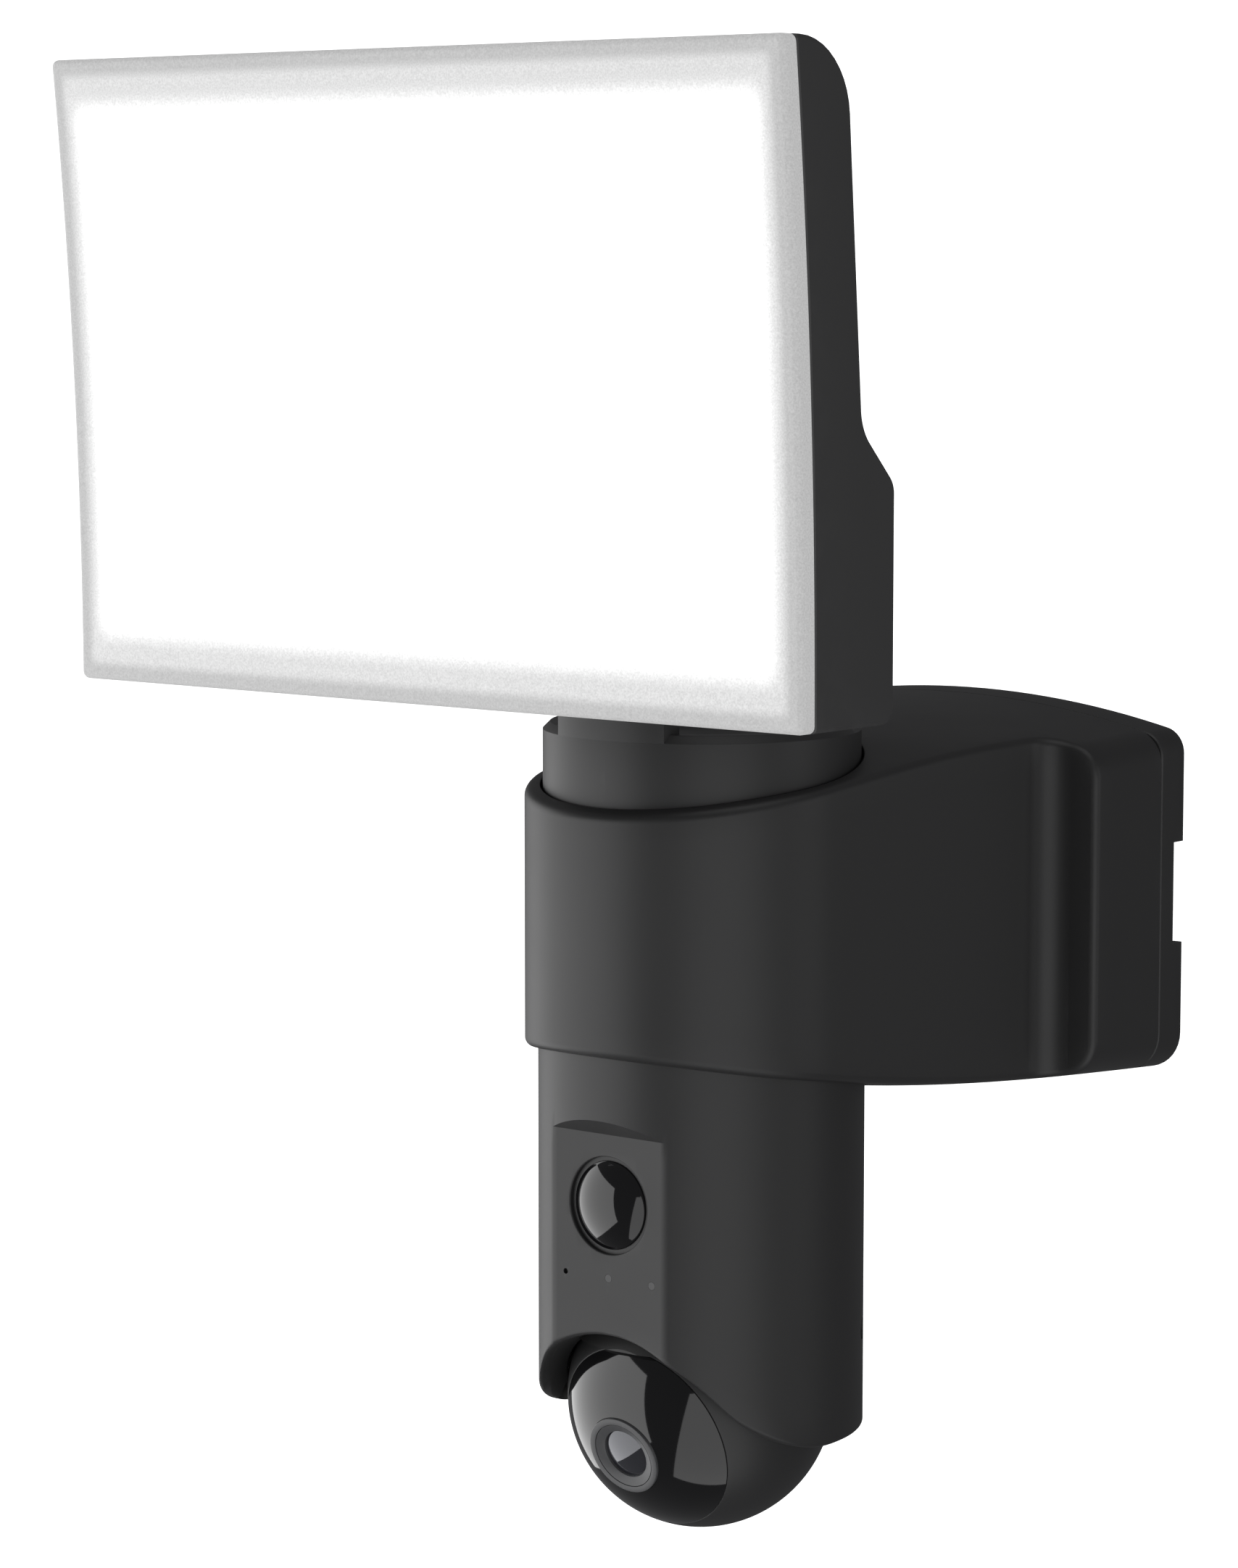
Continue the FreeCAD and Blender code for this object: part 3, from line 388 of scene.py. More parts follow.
def bevel(thing: bpy.types.Object, width: float, steps: int = 3, angle: float = 35) -> None:
    """Round a plain-sided piece's edges.

    Args:
        thing: The piece.
        width: Size of the rounding, in millimetres.
        steps: Segments of the rounding.
        angle: Edges sharper than this many degrees are rounded.
    """
    rounding = thing.modifiers.new("rounding", "BEVEL")
    rounding.width = width * MM
    rounding.segments = steps
    rounding.limit_method = "ANGLE"
    rounding.angle_limit = math.radians(angle)
    bake_modifiers(thing)


def prism(name: str, outline: Sequence[Pair], low: float, high: float) -> bpy.types.Object:
    """A YZ outline drawn out along X.

    Args:
        name: The piece's name.
        outline: Pairs of Y and Z.
        low: Where it starts along X.
        high: Where it ends.

    Returns:
        The piece.
    """
    form = Surface()
    ends = form.loft([[Vector((x, y, z)) for y, z in outline] for x in (low, high)])
    for end in ends:
        form.face(end)
    return form.finish(name)


# ---------------------------------------------------------------- shader tools
class Wiring:
    """Adds and joins the nodes of one shader tree."""

    def __init__(self, tree: bpy.types.NodeTree) -> None:
        """Take a tree.

        Args:
            tree: A material's tree or a group.
        """
        self.tree = tree

    def add(self, kind: str, **settings: object) -> bpy.types.Node:
        """Add a node.

        Args:
            kind: Blender's name of the node type.
            settings: Properties to set on it.

        Returns:
            The node.
        """
        node = self.tree.nodes.new(kind)
        for name, choice in settings.items():
            setattr(node, name, choice)
        return node

    def feed(self, source: Number | Sequence[float], target: Socket) -> None:
        """Join a socket to another, or set a plain number on it."""
        if isinstance(source, Socket):
            self.tree.links.new(source, target)
        else:
            target.default_value = source

    def maths(self, operation: str, *values: Number, clamp: bool = False) -> Socket:
        """Work out a number.

        Args:
            operation: Blender's name of the operation.
            values: Its one to three inputs.
            clamp: Whether the result is kept between 0 and 1.

        Returns:
            The result's socket.
        """
        node = self.add("ShaderNodeMath", operation=operation, use_clamp=clamp)
        for number, socket in zip(values, node.inputs):
            self.feed(number, socket)
        return node.outputs[0]

    def noise(self, place: Socket, scale: Number,
              detail: float = 2.0) -> Socket:
        """Cloudy noise from 0 to 1.

        Args:
            place: The coordinates.
            scale: Waves for each metre.
            detail: How many finer layers it has.

        Returns:
            The noise's socket.
        """
        node = self.add("ShaderNodeTexNoise")
        node.inputs["Detail"].default_value = detail
        self.feed(place, node.inputs["Vector"])
        self.feed(scale, node.inputs["Scale"])
        return node.outputs["Fac"]

    def step(self, number: Socket, low: Number,
             high: Number) -> Socket:
        """Ease a number from 0 at low to 1 at high.

        Args:
            number: The number.
            low: Where it leaves 0.
            high: Where it reaches 1.

        Returns:
            The eased number's socket.
        """
        node = self.add("ShaderNodeMapRange", interpolation_type="SMOOTHSTEP")
        self.feed(number, node.inputs["Value"])
        self.feed(low, node.inputs["From Min"])
        self.feed(high, node.inputs["From Max"])
        return node.outputs["Result"]

    def blend(self, share: Number, first: Socket | Sequence[float],
              second: Socket | Sequence[float]) -> Socket:
        """Mix two colours.

        Args:
            share: How much of the second there is.
            first: The first colour.
            second: The second colour.

        Returns:
            The mixed colour's socket.
        """
        node = self.add("ShaderNodeMix", data_type="RGBA")
        self.feed(share, node.inputs[0])
        self.feed(first, node.inputs[6])
        self.feed(second, node.inputs[7])
        return node.outputs[2]


class Effect(Enum):
    """Shader effects that several materials share."""

    GRAIN = "moulded_grain"
    WEAR = "edge_wear"
    DUST = "settled_dust"
    BRUSHED = "drawn_lines"
    TRACKS = "board_tracks"
    GLOW = "border_glow"


def new_group(effect: Effect, inputs: dict[str, float | None], outputs: Sequence[str]) -> Wiring:
    """Start a node group.

    Args:
        effect: Which effect it is.
        inputs: Names and values of its inputs; None marks a vector.
        outputs: Names of its number outputs.

    Returns:
        The wiring, with its group input and output nodes in place.
    """
    tree = bpy.data.node_groups.new(effect.value, "ShaderNodeTree")
    for name, number in inputs.items():
        kind = "NodeSocketVector" if number is None else "NodeSocketFloat"
        socket = tree.interface.new_socket(name, in_out="INPUT", socket_type=kind)
        if number is not None:
            socket.default_value = number
    for name in outputs:
        tree.interface.new_socket(name, in_out="OUTPUT", socket_type="NodeSocketFloat")
    wiring = Wiring(tree)
    wiring.add("NodeGroupInput", name="given")
    wiring.add("NodeGroupOutput", name="made")
    return wiring


class EffectShelf:
    """Builds each shared effect once and hands it out."""

    def __init__(self) -> None:
        """Build every effect."""
        self.trees = {
            Effect.GRAIN: self.grain(), Effect.WEAR: self.wear(), Effect.DUST: self.dust(),
            Effect.BRUSHED: self.brushed(), Effect.TRACKS: self.tracks(), Effect.GLOW: self.glow(),
        }

    @staticmethod
    def grain() -> bpy.types.NodeTree:
        """Fine spark-eroded grain of a mould with a slow change of sheen and tone."""
        wiring = new_group(Effect.GRAIN, {"Place": None, "Size": 0.0004, "Mottle": 1.0},
                           ("Height", "Sheen", "Tone"))
        given, made = wiring.tree.nodes["given"], wiring.tree.nodes["made"]
        scale = wiring.maths("DIVIDE", 1.0, given.outputs["Size"])
        fine = wiring.noise(given.outputs["Place"], scale, 1.5)
        pits = wiring.add("ShaderNodeTexVoronoi", feature="SMOOTH_F1")
        wiring.feed(given.outputs["Place"], pits.inputs["Vector"])
        wiring.feed(wiring.maths("MULTIPLY", scale, 0.7), pits.inputs["Scale"])
        height = wiring.maths("ADD", wiring.maths("MULTIPLY", fine, 0.6),
                              wiring.maths("MULTIPLY", pits.outputs["Distance"], 0.4))
        wiring.feed(height, made.inputs["Height"])
        slow = wiring.maths("SUBTRACT", wiring.noise(given.outputs["Place"], 26.0, 3.0), 0.5)
        wiring.feed(wiring.maths("MULTIPLY", slow, given.outputs["Mottle"]), made.inputs["Sheen"])
        speck = wiring.maths("SUBTRACT", wiring.noise(given.outputs["Place"], 900.0, 2.0), 0.5)
        tone = wiring.maths("MULTIPLY", wiring.maths("ADD", slow, speck), given.outputs["Mottle"])
        wiring.feed(tone, made.inputs["Tone"])
        return wiring.tree

    @staticmethod
    def wear() -> bpy.types.NodeTree:
        """Rubbed outer edges, broken up by noise."""
        wiring = new_group(Effect.WEAR, {"Place": None, "Amount": 0.3}, ("Mask",))
        given, made = wiring.tree.nodes["given"], wiring.tree.nodes["made"]
        shape = wiring.add("ShaderNodeNewGeometry")
        edge = wiring.step(shape.outputs["Pointiness"], 0.52, 0.60)
        patches = wiring.step(wiring.noise(given.outputs["Place"], 140.0, 4.0), 0.42, 0.66)
        rubbed = wiring.maths("MULTIPLY", edge, patches)
        mask = wiring.maths("MULTIPLY", rubbed, given.outputs["Amount"], clamp=True)
        wiring.feed(mask, made.inputs["Mask"])
        return wiring.tree

    @staticmethod
    def dust() -> bpy.types.NodeTree:
        """A thin film of dust on what faces up."""
        wiring = new_group(Effect.DUST, {"Place": None, "Amount": 0.1}, ("Mask",))
        given, made = wiring.tree.nodes["given"], wiring.tree.nodes["made"]
        own = wiring.add("ShaderNodeTexCoord")
        split = wiring.add("ShaderNodeSeparateXYZ")
        wiring.feed(own.outputs["Normal"], split.inputs[0])
        upward = wiring.step(split.outputs["Z"], 0.35, 0.95)
        cloud = wiring.step(wiring.noise(given.outputs["Place"], 60.0, 6.0), 0.3, 0.75)
        film = wiring.maths("MULTIPLY", upward, cloud)
        mask = wiring.maths("MULTIPLY", film, given.outputs["Amount"], clamp=True)
        wiring.feed(mask, made.inputs["Mask"])
        return wiring.tree

    @staticmethod
    def brushed() -> bpy.types.NodeTree:
        """Fine drawn lines of machined or rolled metal."""
        wiring = new_group(Effect.BRUSHED, {"Place": None, "Depth": 1.0}, ("Height", "Sheen"))
        given, made = wiring.tree.nodes["given"], wiring.tree.nodes["made"]
        stretch = wiring.add("ShaderNodeMapping")
        stretch.inputs["Scale"].default_value = (1.0, 14.0, 14.0)
        wiring.feed(given.outputs["Place"], stretch.inputs["Vector"])
        lines = wiring.noise(stretch.outputs["Vector"], 420.0, 3.0)
        wiring.feed(wiring.maths("MULTIPLY", lines, given.outputs["Depth"]), made.inputs["Height"])
        wiring.feed(wiring.maths("SUBTRACT", lines, 0.5), made.inputs["Sheen"])
        return wiring.tree

    @staticmethod
    def tracks() -> bpy.types.NodeTree:
        """Printed tracks and round pads of a circuit board."""
        wiring = new_group(Effect.TRACKS, {"Place": None, "Pitch": 0.003}, ("Track", "Pad"))
        given, made = wiring.tree.nodes["given"], wiring.tree.nodes["made"]
        scale = wiring.maths("DIVIDE", 1.0, given.outputs["Pitch"])
        cells = wiring.add("ShaderNodeTexVoronoi", feature="DISTANCE_TO_EDGE")
        wiring.feed(given.outputs["Place"], cells.inputs["Vector"])
        wiring.feed(scale, cells.inputs["Scale"])
        narrow = wiring.step(cells.outputs["Distance"], 0.10, 0.04)
        wiring.feed(narrow, made.inputs["Track"])
        dots = wiring.add("ShaderNodeTexVoronoi", feature="F1")
        wiring.feed(given.outputs["Place"], dots.inputs["Vector"])
        wiring.feed(scale, dots.inputs["Scale"])
        wiring.feed(wiring.step(dots.outputs["Distance"], 0.22, 0.16), made.inputs["Pad"])
        return wiring.tree

    @staticmethod
    def glow() -> bpy.types.NodeTree:
        """How brightly an edge-lit tray shines at a place: a dull rim, a paler band and the lit field."""
        wiring = new_group(Effect.GLOW, {"Place": None, "Half": 0.1, "Low": 0.0, "High": 0.1},
                           ("Rim", "Field", "Frost"))
        given, made = wiring.tree.nodes["given"], wiring.tree.nodes["made"]
        split = wiring.add("ShaderNodeSeparateXYZ")
        wiring.feed(given.outputs["Place"], split.inputs[0])
        across = wiring.maths("SUBTRACT", given.outputs["Half"], wiring.maths("ABSOLUTE", split.outputs["X"]))
        above = wiring.maths("SUBTRACT", split.outputs["Z"], given.outputs["Low"])
        below = wiring.maths("SUBTRACT", given.outputs["High"], split.outputs["Z"])
        upright = wiring.maths("SMOOTH_MIN", above, below, 0.004)
        nearest = wiring.maths("SMOOTH_MIN", across, upright, 0.003)
        wiring.feed(wiring.step(nearest, 0.0024, 0.0050), made.inputs["Rim"])
        between_sides = wiring.step(across, 0.0040, 0.0100)
        between_ends = wiring.step(upright, 0.0070, 0.0150)
        wiring.feed(wiring.maths("MULTIPLY", between_sides, between_ends), made.inputs["Field"])
        frost = wiring.maths("SUBTRACT", wiring.noise(given.outputs["Place"], 2600.0, 1.0), 0.5)
        wiring.feed(frost, made.inputs["Frost"])
        return wiring.tree

    def place(self, wiring: Wiring, effect: Effect, **inputs: Number) -> bpy.types.Node:
        """Put a shared effect into a material.

        Args:
            wiring: The material's wiring.
            effect: Which effect.
            inputs: Its inputs by name, with spaces as underscores.

        Returns:
            The group node.
        """
        node = wiring.add("ShaderNodeGroup")
        node.node_tree = self.trees[effect]
        for name, given in inputs.items():
            wiring.feed(given, node.inputs[name.replace("_", " ")])
        return node


# ---------------------------------------------------------------- finishes
DUST_COLOUR = (0.32, 0.31, 0.29)
LIT_EDGE, LIT_BAND, LIT_FIELD, LIT_FROST = 0.42, 0.62, 1.25, 0.55


class Make(Enum):
    """What a surface is made of."""

    MOULDED = "moulded plastic"
    METAL = "bare metal"
    BOARD = "printed board"
    GLASS = "coated glass"
    LIT = "lit diffuser"


@dataclass(frozen=True)
class Finish:
    """One finish and the values of its effects.

    Lengths are in millimetres: grain is the size of the mould's grain, and relief its depth.
    """

    slot: str
    make: Make
    colour: Colour
    roughness: float
    grain: float = 0.35
    relief: float = 0.004
    mottle: float = 0.10
    wear: float = 0.0
    dust: float = 0.0
    coat: float = 0.0
    second: Colour = (0.5, 0.5, 0.5)

    def material(self, shelf: EffectShelf) -> bpy.types.Material:
        """Build the material.

        Args:
            shelf: The shared effects.

        Returns:
            The material, named after the slot.
        """
        made = bpy.data.materials.new("finish_" + self.slot)
        made.use_nodes = True
        made.diffuse_color = (*self.colour, 1)
        wiring = Wiring(made.node_tree)
        surface = made.node_tree.nodes["Principled BSDF"]
        place = wiring.add("ShaderNodeTexCoord").outputs["Object"]
        dressers = {
            Make.MOULDED: self.dress_moulded, Make.METAL: self.dress_metal, Make.BOARD: self.dress_board,
            Make.GLASS: self.dress_glass, Make.LIT: self.dress_lit,
        }
        dressers[self.make](wiring, surface, place, shelf)
        return made

    def relief_into(self, wiring: Wiring, surface: bpy.types.Node, height: Socket) -> None:
        """Raise the surface by a height map.

        Args:
            wiring: The material's wiring.
            surface: Its Principled shader.
            height: The height, 0 to 1, where 1 is the finish's relief.
        """
        bump = wiring.add("ShaderNodeBump")
        bump.inputs["Strength"].default_value = 1.0
        bump.inputs["Distance"].default_value = self.relief * MM
        wiring.feed(height, bump.inputs["Height"])
        wiring.feed(bump.outputs["Normal"], surface.inputs["Normal"])

    def dress_moulded(self, wiring: Wiring, surface: bpy.types.Node, place: Socket,
                      shelf: EffectShelf) -> None:
        """Moulded plastic or rubber: grain, sheen that drifts, rubbed edges and dust."""
        grain = shelf.place(wiring, Effect.GRAIN, Place=place, Size=self.grain * MM, Mottle=1.0)
        wear = shelf.place(wiring, Effect.WEAR, Place=place, Amount=self.wear)
        dust = shelf.place(wiring, Effect.DUST, Place=place, Amount=self.dust)
        tone = wiring.maths("MULTIPLY_ADD", grain.outputs["Tone"], self.mottle, 0.5)
        darker = tuple(c * 0.8 for c in self.colour)
        paler = tuple(min(1.0, c * 1.2) for c in self.colour)
        body = wiring.blend(tone, (*darker, 1), (*paler, 1))
        rubbed = tuple(min(1.0, c * 1.9 + 0.012) for c in self.colour)
        worn = wiring.blend(wear.outputs["Mask"], body, (*rubbed, 1))
        dusty = wiring.blend(dust.outputs["Mask"], worn, (*DUST_COLOUR, 1))
        wiring.feed(dusty, surface.inputs["Base Color"])
        sheen = wiring.maths("MULTIPLY_ADD", grain.outputs["Sheen"], self.mottle, self.roughness)
        dull = wiring.maths("MULTIPLY_ADD", dust.outputs["Mask"], 0.4, sheen)
        polished = wiring.maths("MULTIPLY_ADD", wear.outputs["Mask"], -0.12, dull, clamp=True)
        wiring.feed(polished, surface.inputs["Roughness"])
        surface.inputs["Coat Weight"].default_value = self.coat
        surface.inputs["Coat Roughness"].default_value = 0.04
        self.relief_into(wiring, surface, grain.outputs["Height"])

    def dress_metal(self, wiring: Wiring, surface: bpy.types.Node, place: Socket,
                    shelf: EffectShelf) -> None:
        """Plated or rolled metal with fine drawn lines."""
        lines = shelf.place(wiring, Effect.BRUSHED, Place=place, Depth=1.0)
        wear = shelf.place(wiring, Effect.WEAR, Place=place, Amount=0.5)
        bright = tuple(min(1.0, c * 1.15) for c in self.colour)
        rubbed = wiring.blend(wear.outputs["Mask"], (*self.colour, 1), (*bright, 1))
        wiring.feed(rubbed, surface.inputs["Base Color"])
        surface.inputs["Metallic"].default_value = 1.0
        wiring.feed(wiring.maths("MULTIPLY_ADD", lines.outputs["Sheen"], 0.25, self.roughness, clamp=True),
                    surface.inputs["Roughness"])
        self.relief_into(wiring, surface, lines.outputs["Height"])

    def dress_board(self, wiring: Wiring, surface: bpy.types.Node, place: Socket,
                    shelf: EffectShelf) -> None:
        """Printed board: solder mask over tracks, with bare pads."""
        tracks = shelf.place(wiring, Effect.TRACKS, Place=place, Pitch=self.grain * MM)
        raised = tuple(min(1.0, c * 1.5 + 0.01) for c in self.colour)
        mask = wiring.blend(tracks.outputs["Track"], (*self.colour, 1), (*raised, 1))
        printed = wiring.blend(tracks.outputs["Pad"], mask, (*self.second, 1))
        wiring.feed(printed, surface.inputs["Base Color"])
        wiring.feed(tracks.outputs["Pad"], surface.inputs["Metallic"])
        wiring.feed(wiring.maths("MULTIPLY_ADD", tracks.outputs["Pad"], -0.15, self.roughness),
                    surface.inputs["Roughness"])
        self.relief_into(wiring, surface, wiring.maths("ADD", tracks.outputs["Track"], tracks.outputs["Pad"]))

    def dress_glass(self, wiring: Wiring, surface: bpy.types.Node, place: Socket,
                    shelf: EffectShelf) -> None:
        """Coated camera glass with faint smears in its polish."""
        grain = shelf.place(wiring, Effect.GRAIN, Place=place, Size=self.grain * MM, Mottle=1.0)
        surface.inputs["Base Color"].default_value = (*self.colour, 1)
        surface.inputs["Transmission Weight"].default_value = 0.35
        surface.inputs["IOR"].default_value = 1.62
        surface.inputs["Coat Weight"].default_value = self.coat
        surface.inputs["Coat Roughness"].default_value = 0.01
        surface.inputs["Coat Tint"].default_value = (0.90, 0.92, 1.0, 1)
        wiring.feed(wiring.maths("MULTIPLY_ADD", grain.outputs["Sheen"], 0.04, self.roughness, clamp=True),
                    surface.inputs["Roughness"])

    def dress_lit(self, wiring: Wiring, surface: bpy.types.Node, place: Socket,
                  shelf: EffectShelf) -> None:
        """Opal tray lit from inside, with a frosted border round the bright field."""
        tray = Extent.of("lamp_lens")
        glow = shelf.place(wiring, Effect.GLOW, Place=place, Half=tray.high.x * MM, Low=tray.low.z * MM,
                           High=tray.high.z * MM)
        grain = shelf.place(wiring, Effect.GRAIN, Place=place, Size=self.grain * MM, Mottle=1.0)
        edge, band, middle = ((level, level, level, 1) for level in (LIT_EDGE, LIT_BAND, LIT_FIELD))
        frost = wiring.maths("MULTIPLY", glow.outputs["Frost"], LIT_FROST)
        grey = wiring.blend(glow.outputs["Rim"], edge, band)
        lit = wiring.blend(glow.outputs["Field"], grey, middle)
        level = wiring.maths("ADD", frost, 1.0)
        scaled = wiring.add("ShaderNodeMix", data_type="RGBA", blend_type="MULTIPLY")
        scaled.inputs[0].default_value = 1.0
        wiring.feed(lit, scaled.inputs[6])
        wiring.feed(level, scaled.inputs[7])
        wiring.feed(scaled.outputs[2], surface.inputs["Emission Color"])
        surface.inputs["Emission Strength"].default_value = 1.0
        surface.inputs["Base Color"].default_value = (*self.colour, 1)
        surface.inputs["Roughness"].default_value = self.roughness
        self.relief_into(wiring, surface, grain.outputs["Height"])


FINISHES = (
    Finish("black_shell", Make.MOULDED, (0.0215, 0.0215, 0.0220), 0.46, grain=0.30, relief=0.0035, wear=0.35,
           dust=0.012),
    # lamp_shell: the black shell's plastic at about twice its albedo; part of this lightness is the housing's
    # own lighter plastic and part is painted light standing in for light falling on the lamp's sides
    Finish("lamp_shell", Make.MOULDED, (0.0420, 0.0420, 0.0425), 0.50, grain=0.32, relief=0.0035, wear=0.35,
           dust=0.012),
    Finish("sensor_face", Make.MOULDED, (0.0300, 0.0300, 0.0305), 0.44, grain=0.25, relief=0.002, wear=0.2),
    Finish("gloss_black", Make.MOULDED, (0.0040, 0.0040, 0.0045), 0.06, grain=0.5, relief=0.0, mottle=0.03,
           coat=0.4),
    Finish("diffuser", Make.LIT, (0.12, 0.12, 0.12), 0.50, grain=0.45, relief=0.004),
    Finish("lens_grey", Make.MOULDED, (0.072, 0.073, 0.076), 0.36, grain=0.2, relief=0.001, wear=0.3),
    Finish("dark_glass", Make.GLASS, (0.03, 0.03, 0.033), 0.03, coat=1.0),
    Finish("white_plastic", Make.MOULDED, (0.80, 0.80, 0.79), 0.45, grain=0.4, wear=0.1),
    Finish("natural_plastic", Make.MOULDED, (0.68, 0.66, 0.60), 0.42, grain=0.4, wear=0.1),
    Finish("green_board", Make.BOARD, (0.016, 0.095, 0.045), 0.38, grain=2.4, relief=0.03,
           second=(0.80, 0.62, 0.30)),
    Finish("white_board", Make.BOARD, (0.78, 0.79, 0.78), 0.40, grain=6.0, relief=0.03,
           second=(0.72, 0.72, 0.74)),
    Finish("rubber_black", Make.MOULDED, (0.014, 0.014, 0.014), 0.72, grain=0.6, relief=0.01, mottle=0.2),
    Finish("foam_grey", Make.MOULDED, (0.075, 0.075, 0.078), 0.90, grain=0.8, relief=0.12, mottle=0.4),
    Finish("steel", Make.METAL, (0.58, 0.58, 0.60), 0.32, relief=0.002),
    Finish("aluminium", Make.METAL, (0.78, 0.78, 0.79), 0.38, relief=0.003),
    Finish("phosphor", Make.MOULDED, (0.85, 0.66, 0.18), 0.30, grain=0.3, coat=0.3),
    Finish("black_part", Make.MOULDED, (0.012, 0.012, 0.012), 0.50, grain=0.4, relief=0.004, wear=0.2),
    Finish("capacitor_sleeve", Make.MOULDED, (0.010, 0.016, 0.05), 0.28, grain=0.5, relief=0.002, coat=0.3),
    Finish("transformer_tape", Make.MOULDED, (0.62, 0.44, 0.07), 0.40, grain=0.9, relief=0.02, mottle=0.3),
    Finish("light_pipe", Make.MOULDED, (0.058, 0.058, 0.060), 0.40, grain=0.3, relief=0.0),
)


class Wardrobe:
    """Holds every material and dresses pieces and sub-parts with them."""

    def __init__(self) -> None:
        """Build the shared effects and one material for each finish."""
        shelf = EffectShelf()
        self.materials = {finish.slot: finish.material(shelf) for finish in FINISHES}

    def dress(self, thing: bpy.types.Object, slot: str, sharp: float = 24) -> None:
        """Give a piece its material and smooth shading.

        Args:
            thing: The piece.
            slot: The record's slot name.
            sharp: Edges over this many degrees stay crisp.
        """
        thing.data.materials.clear()
        thing.data.materials.append(self.materials[slot])
        thing.data.polygons.foreach_set("material_index", [0] * len(thing.data.polygons))
        thing.data.shade_smooth()
        thing.data.set_sharp_from_angle(angle=math.radians(sharp))

    def fit(self, thing: bpy.types.Object, body: str, slot: str, *nodes: str, sharp: float = 24) -> None:
        """Dress a built piece and let it stand for sub-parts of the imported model.

        Args:
            thing: The piece.
            body: The body it moves with.
            slot: The record's slot name.
            nodes: The sub-parts it stands for.
            sharp: Edges over this many degrees stay crisp.
        """
        self.dress(thing, slot, sharp)
        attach(thing, body)
        if nodes:
            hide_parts(*nodes)
        LOG.info("%s: %d faces on %s", thing.name, len(thing.data.polygons), body)

    def dress_sub_part(self, node: bpy.types.Object) -> None:
        """Give a sub-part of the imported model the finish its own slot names.

        Args:
            node: The sub-part's object.
        """
        slot = node.data.materials[0].name.split(".")[0]
        for place in node.material_slots:
            place.material = self.materials[slot]
        LOG.info("%s: %s", node.name, slot)


